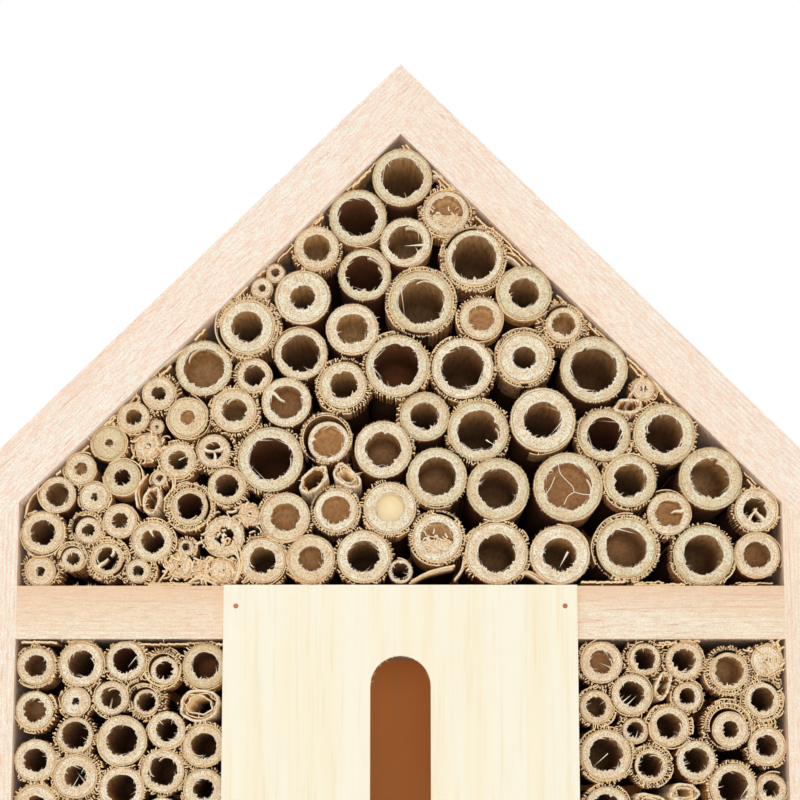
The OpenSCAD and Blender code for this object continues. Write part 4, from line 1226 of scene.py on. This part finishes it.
def make_cone(number):
    rng = np.random.default_rng(40 + number)
    node = f"pine_cone_{number}"
    low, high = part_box(node)
    side = -1 if number <= 6 else 1
    level = (number - 1) % 6 // 2
    centre = np.array([
        side * (DIVIDER_OUT + WALL_IN) / 2, (low.y + high.y) / 2,
        FLOOR_TOP + (LOWER_SHELF - FLOOR_TOP) * (level + 0.5) / 3,
    ])
    lean = math.radians(CONE_LEANS[number - 1])
    axis = np.array([math.sin(lean), 0, math.cos(lean)])
    right = np.array([math.cos(lean), 0, -math.sin(lean)])
    ahead = np.array([0, 1.0, 0])
    shell = Shell(["pine_cone_scale"], ("tip",))
    foot = centre - axis * CONE_LENGTH / 2
    heart = []
    for share in np.linspace(0.04, 0.96, 9):
        radius = 0.30 * CONE_RADIUS * cone_swell(share) + 0.5 * MM
        turn = np.arange(14) * TURN / 14
        heart.append(foot + axis * CONE_LENGTH * share
                     + radius * (np.cos(turn)[:, None] * right + np.sin(turn)[:, None] * ahead))
    shell.rings(heart, "pine_cone_scale", tip=0.1)
    scales = 78
    for k in range(scales):
        share = (k + 0.5) / scales
        turn = k * GOLDEN_ANGLE + rng.normal(0, 0.06)
        outward = math.cos(turn) * right + math.sin(turn) * ahead
        sideways = -math.sin(turn) * right + math.cos(turn) * ahead
        pitch = math.radians(np.interp(share, [0, 0.5, 0.85, 1], [-8, 14, 38, 66]) + rng.normal(0, 4))
        reach = CONE_RADIUS * cone_swell(min(0.97, share + 0.04)) * rng.uniform(0.93, 0.99)
        root = 0.22 * reach
        length = (reach - root) / max(0.55, math.cos(pitch))
        width = min(13.5 * MM, 0.62 * reach + 2.5 * MM)
        points, faces, tips = cone_scale(length, width, 1.7 * MM)
        forward = math.cos(pitch) * outward + math.sin(pitch) * axis
        upward = -math.sin(pitch) * outward + math.cos(pitch) * axis
        start = foot + axis * CONE_LENGTH * min(share * 0.90 + 0.03, 0.9) + outward * root
        placed = start + points[:, :1] * forward + points[:, 1:2] * sideways + points[:, 2:] * upward
        shell.add(placed, faces, "pine_cone_scale", tip=tips)
    shell.piece(f"cone_{number}", "pine_cone", node)


# Frame nodes that keep their shape

def weld(piece):
    """Joins the split corners of a frame node."""
    joined = piece.modifiers.new("weld", "WELD")
    joined.merge_threshold = 0.001 * MM


def soften(node, width):
    """Joins a node's split corners and rounds its sharp edges, by modifiers only."""
    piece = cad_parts[node]
    weld(piece)
    flat = piece.modifiers.new("whole_faces", "DECIMATE")
    flat.decimate_type = "DISSOLVE"
    flat.angle_limit = math.radians(1)
    bevel = piece.modifiers.new("soft_edges", "BEVEL")
    bevel.width = width
    bevel.segments = 2
    bevel.limit_method = "ANGLE"
    bevel.angle_limit = math.radians(40)
    bevel.harden_normals = True


def paint_node(node, material):
    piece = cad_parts[node]
    for k in range(len(piece.material_slots)):
        piece.material_slots[k].link = "OBJECT"
        piece.material_slots[k].material = material
    if not piece.material_slots:
        piece.data.materials.append(material)


def sheet_depth(node):
    """The front of a sheet along Y, and its thickness."""
    low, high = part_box(node)
    return low.y, high.y - low.y


def finish_boards():
    upright = math.pi / 2
    slanted = upright / 2
    roof = rgb(255, 253, 240), rgb(255, 242, 224), rgb(250, 198, 166)
    wall = rgb(255, 252, 238), rgb(255, 240, 220), rgb(250, 206, 172)
    shelf = rgb(255, 250, 230), rgb(254, 236, 208), rgb(240, 198, 162)
    boards = {
        "roof_board_left": (slanted, roof), "roof_board_right": (-slanted, roof),
        "side_wall_left": (upright, wall), "side_wall_right": (upright, wall),
        "upper_shelf": (0, shelf), "lower_shelf": (0, shelf), "floor_board": (0, shelf),
        "upper_divider_left": (upright, wall), "upper_divider_right": (upright, wall),
        "lower_divider_left": (upright, wall), "lower_divider_right": (upright, wall),
    }
    for seed, (node, (lean, tones)) in enumerate(boards.items()):
        soften(node, 0.4 * MM)
        low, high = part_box(node)
        # Flat boards get a band of painted shade towards their top.
        painted_shade_band = None if lean else (low.z + 3 * MM, high.z + 4 * MM)
        paint_node(node, softwood(node + "_wood", lean, seed + 1, *tones, painted_shade_band=painted_shade_band))
    soften("butterfly_panel", 0.25 * MM)
    paint_node("butterfly_panel", plywood("panel_plywood", upright, 3, rgb(255, 248, 226), rgb(254, 241, 208),
                                          rgb(242, 220, 170), *sheet_depth("butterfly_panel")))
    soften("back_panel", 0.3 * MM)
    paint_node("back_panel", plywood("back_plywood", upright, 5, rgb(246, 220, 178), rgb(232, 192, 142),
                                     rgb(214, 170, 118), *sheet_depth("back_panel"), rgb(255, 164, 86)))


def finish_metal():
    nail = steel("nail_steel", rgb(150, 146, 140), rgb(92, 84, 76), 0.5)
    rusty = steel("brad_steel", rgb(196, 120, 80), rgb(128, 70, 44), 0.6)
    zinc = steel("zinc_steel", rgb(214, 216, 218), rgb(168, 170, 172), 0.35, 300)
    wire = steel("mesh_wire", rgb(205, 207, 208), rgb(150, 152, 150), 0.4)
    for node in ("roof_nails", "wall_nails_left", "wall_nails_right", "divider_nails", "back_panel_nails"):
        soften(node, 0.12 * MM)
        paint_node(node, nail)
    soften("panel_nails", 0.08 * MM)
    paint_node("panel_nails", rusty)
    for node in ("hanger_plate", "hanger_screws"):
        soften(node, 0.2 * MM)
        paint_node(node, zinc)
    for node in ("wire_mesh_left", "wire_mesh_right", "mesh_staples_left", "mesh_staples_right"):
        soften(node, 0.1 * MM)
        paint_node(node, wire)


def finish_logs():
    """Logs keep their drilled shape, and modifiers roughen the bark and the sawn ends."""
    clouds = bpy.data.textures.new("bark_relief", "CLOUDS")
    clouds.noise_scale = 4.5 * MM
    clouds.noise_depth = 3
    for k in (1, 2, 3):
        node = f"drilled_log_{k}"
        low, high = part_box(node)
        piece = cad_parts[node]
        weld(piece)
        remesh = piece.modifiers.new("even_mesh", "REMESH")
        remesh.mode = "VOXEL"
        remesh.voxel_size = 0.9 * MM
        remesh.use_smooth_shade = True
        relief = piece.modifiers.new("relief", "DISPLACE")
        relief.texture = clouds
        relief.texture_coords = "LOCAL"
        relief.strength = 1.3 * MM
        relief.mid_level = 0.75
        paint = log_paint(f"log_wood_{k}", (low.x + high.x) / 2, (low.z + high.z) / 2, (high.x - low.x) / 2)
        paint_node(node, paint)


PAINTS = {}


def mix_paints():
    PAINTS["reed_skin"] = reed_skin()
    PAINTS["pale_fibre"] = streaky("pale_fibre", rgb(255, 240, 212), rgb(244, 220, 180), rgb(214, 176, 126),
                                   rgb(255, 246, 222), 700)
    PAINTS["sheath"] = streaky("sheath", rgb(242, 198, 138), rgb(206, 146, 90), rgb(116, 72, 40),
                               rgb(252, 226, 178), 1100)
    PAINTS["film"] = streaky("film", rgb(248, 228, 190), rgb(236, 204, 154), rgb(196, 148, 94),
                             rgb(255, 242, 214), 500)
    PAINTS["bowl"] = streaky("bowl", rgb(248, 228, 182), rgb(240, 212, 158), rgb(222, 186, 130),
                             rgb(250, 232, 190), 500)
    PAINTS["pine_cone_scale"] = cone_scale_paint()


add_camera()
add_stage()
mix_paints()
finish_boards()
finish_metal()
finish_logs()
make_reeds()
make_edge_fuzz()
for cone_number in range(1, len(CONE_LEANS) + 1):
    make_cone(cone_number)
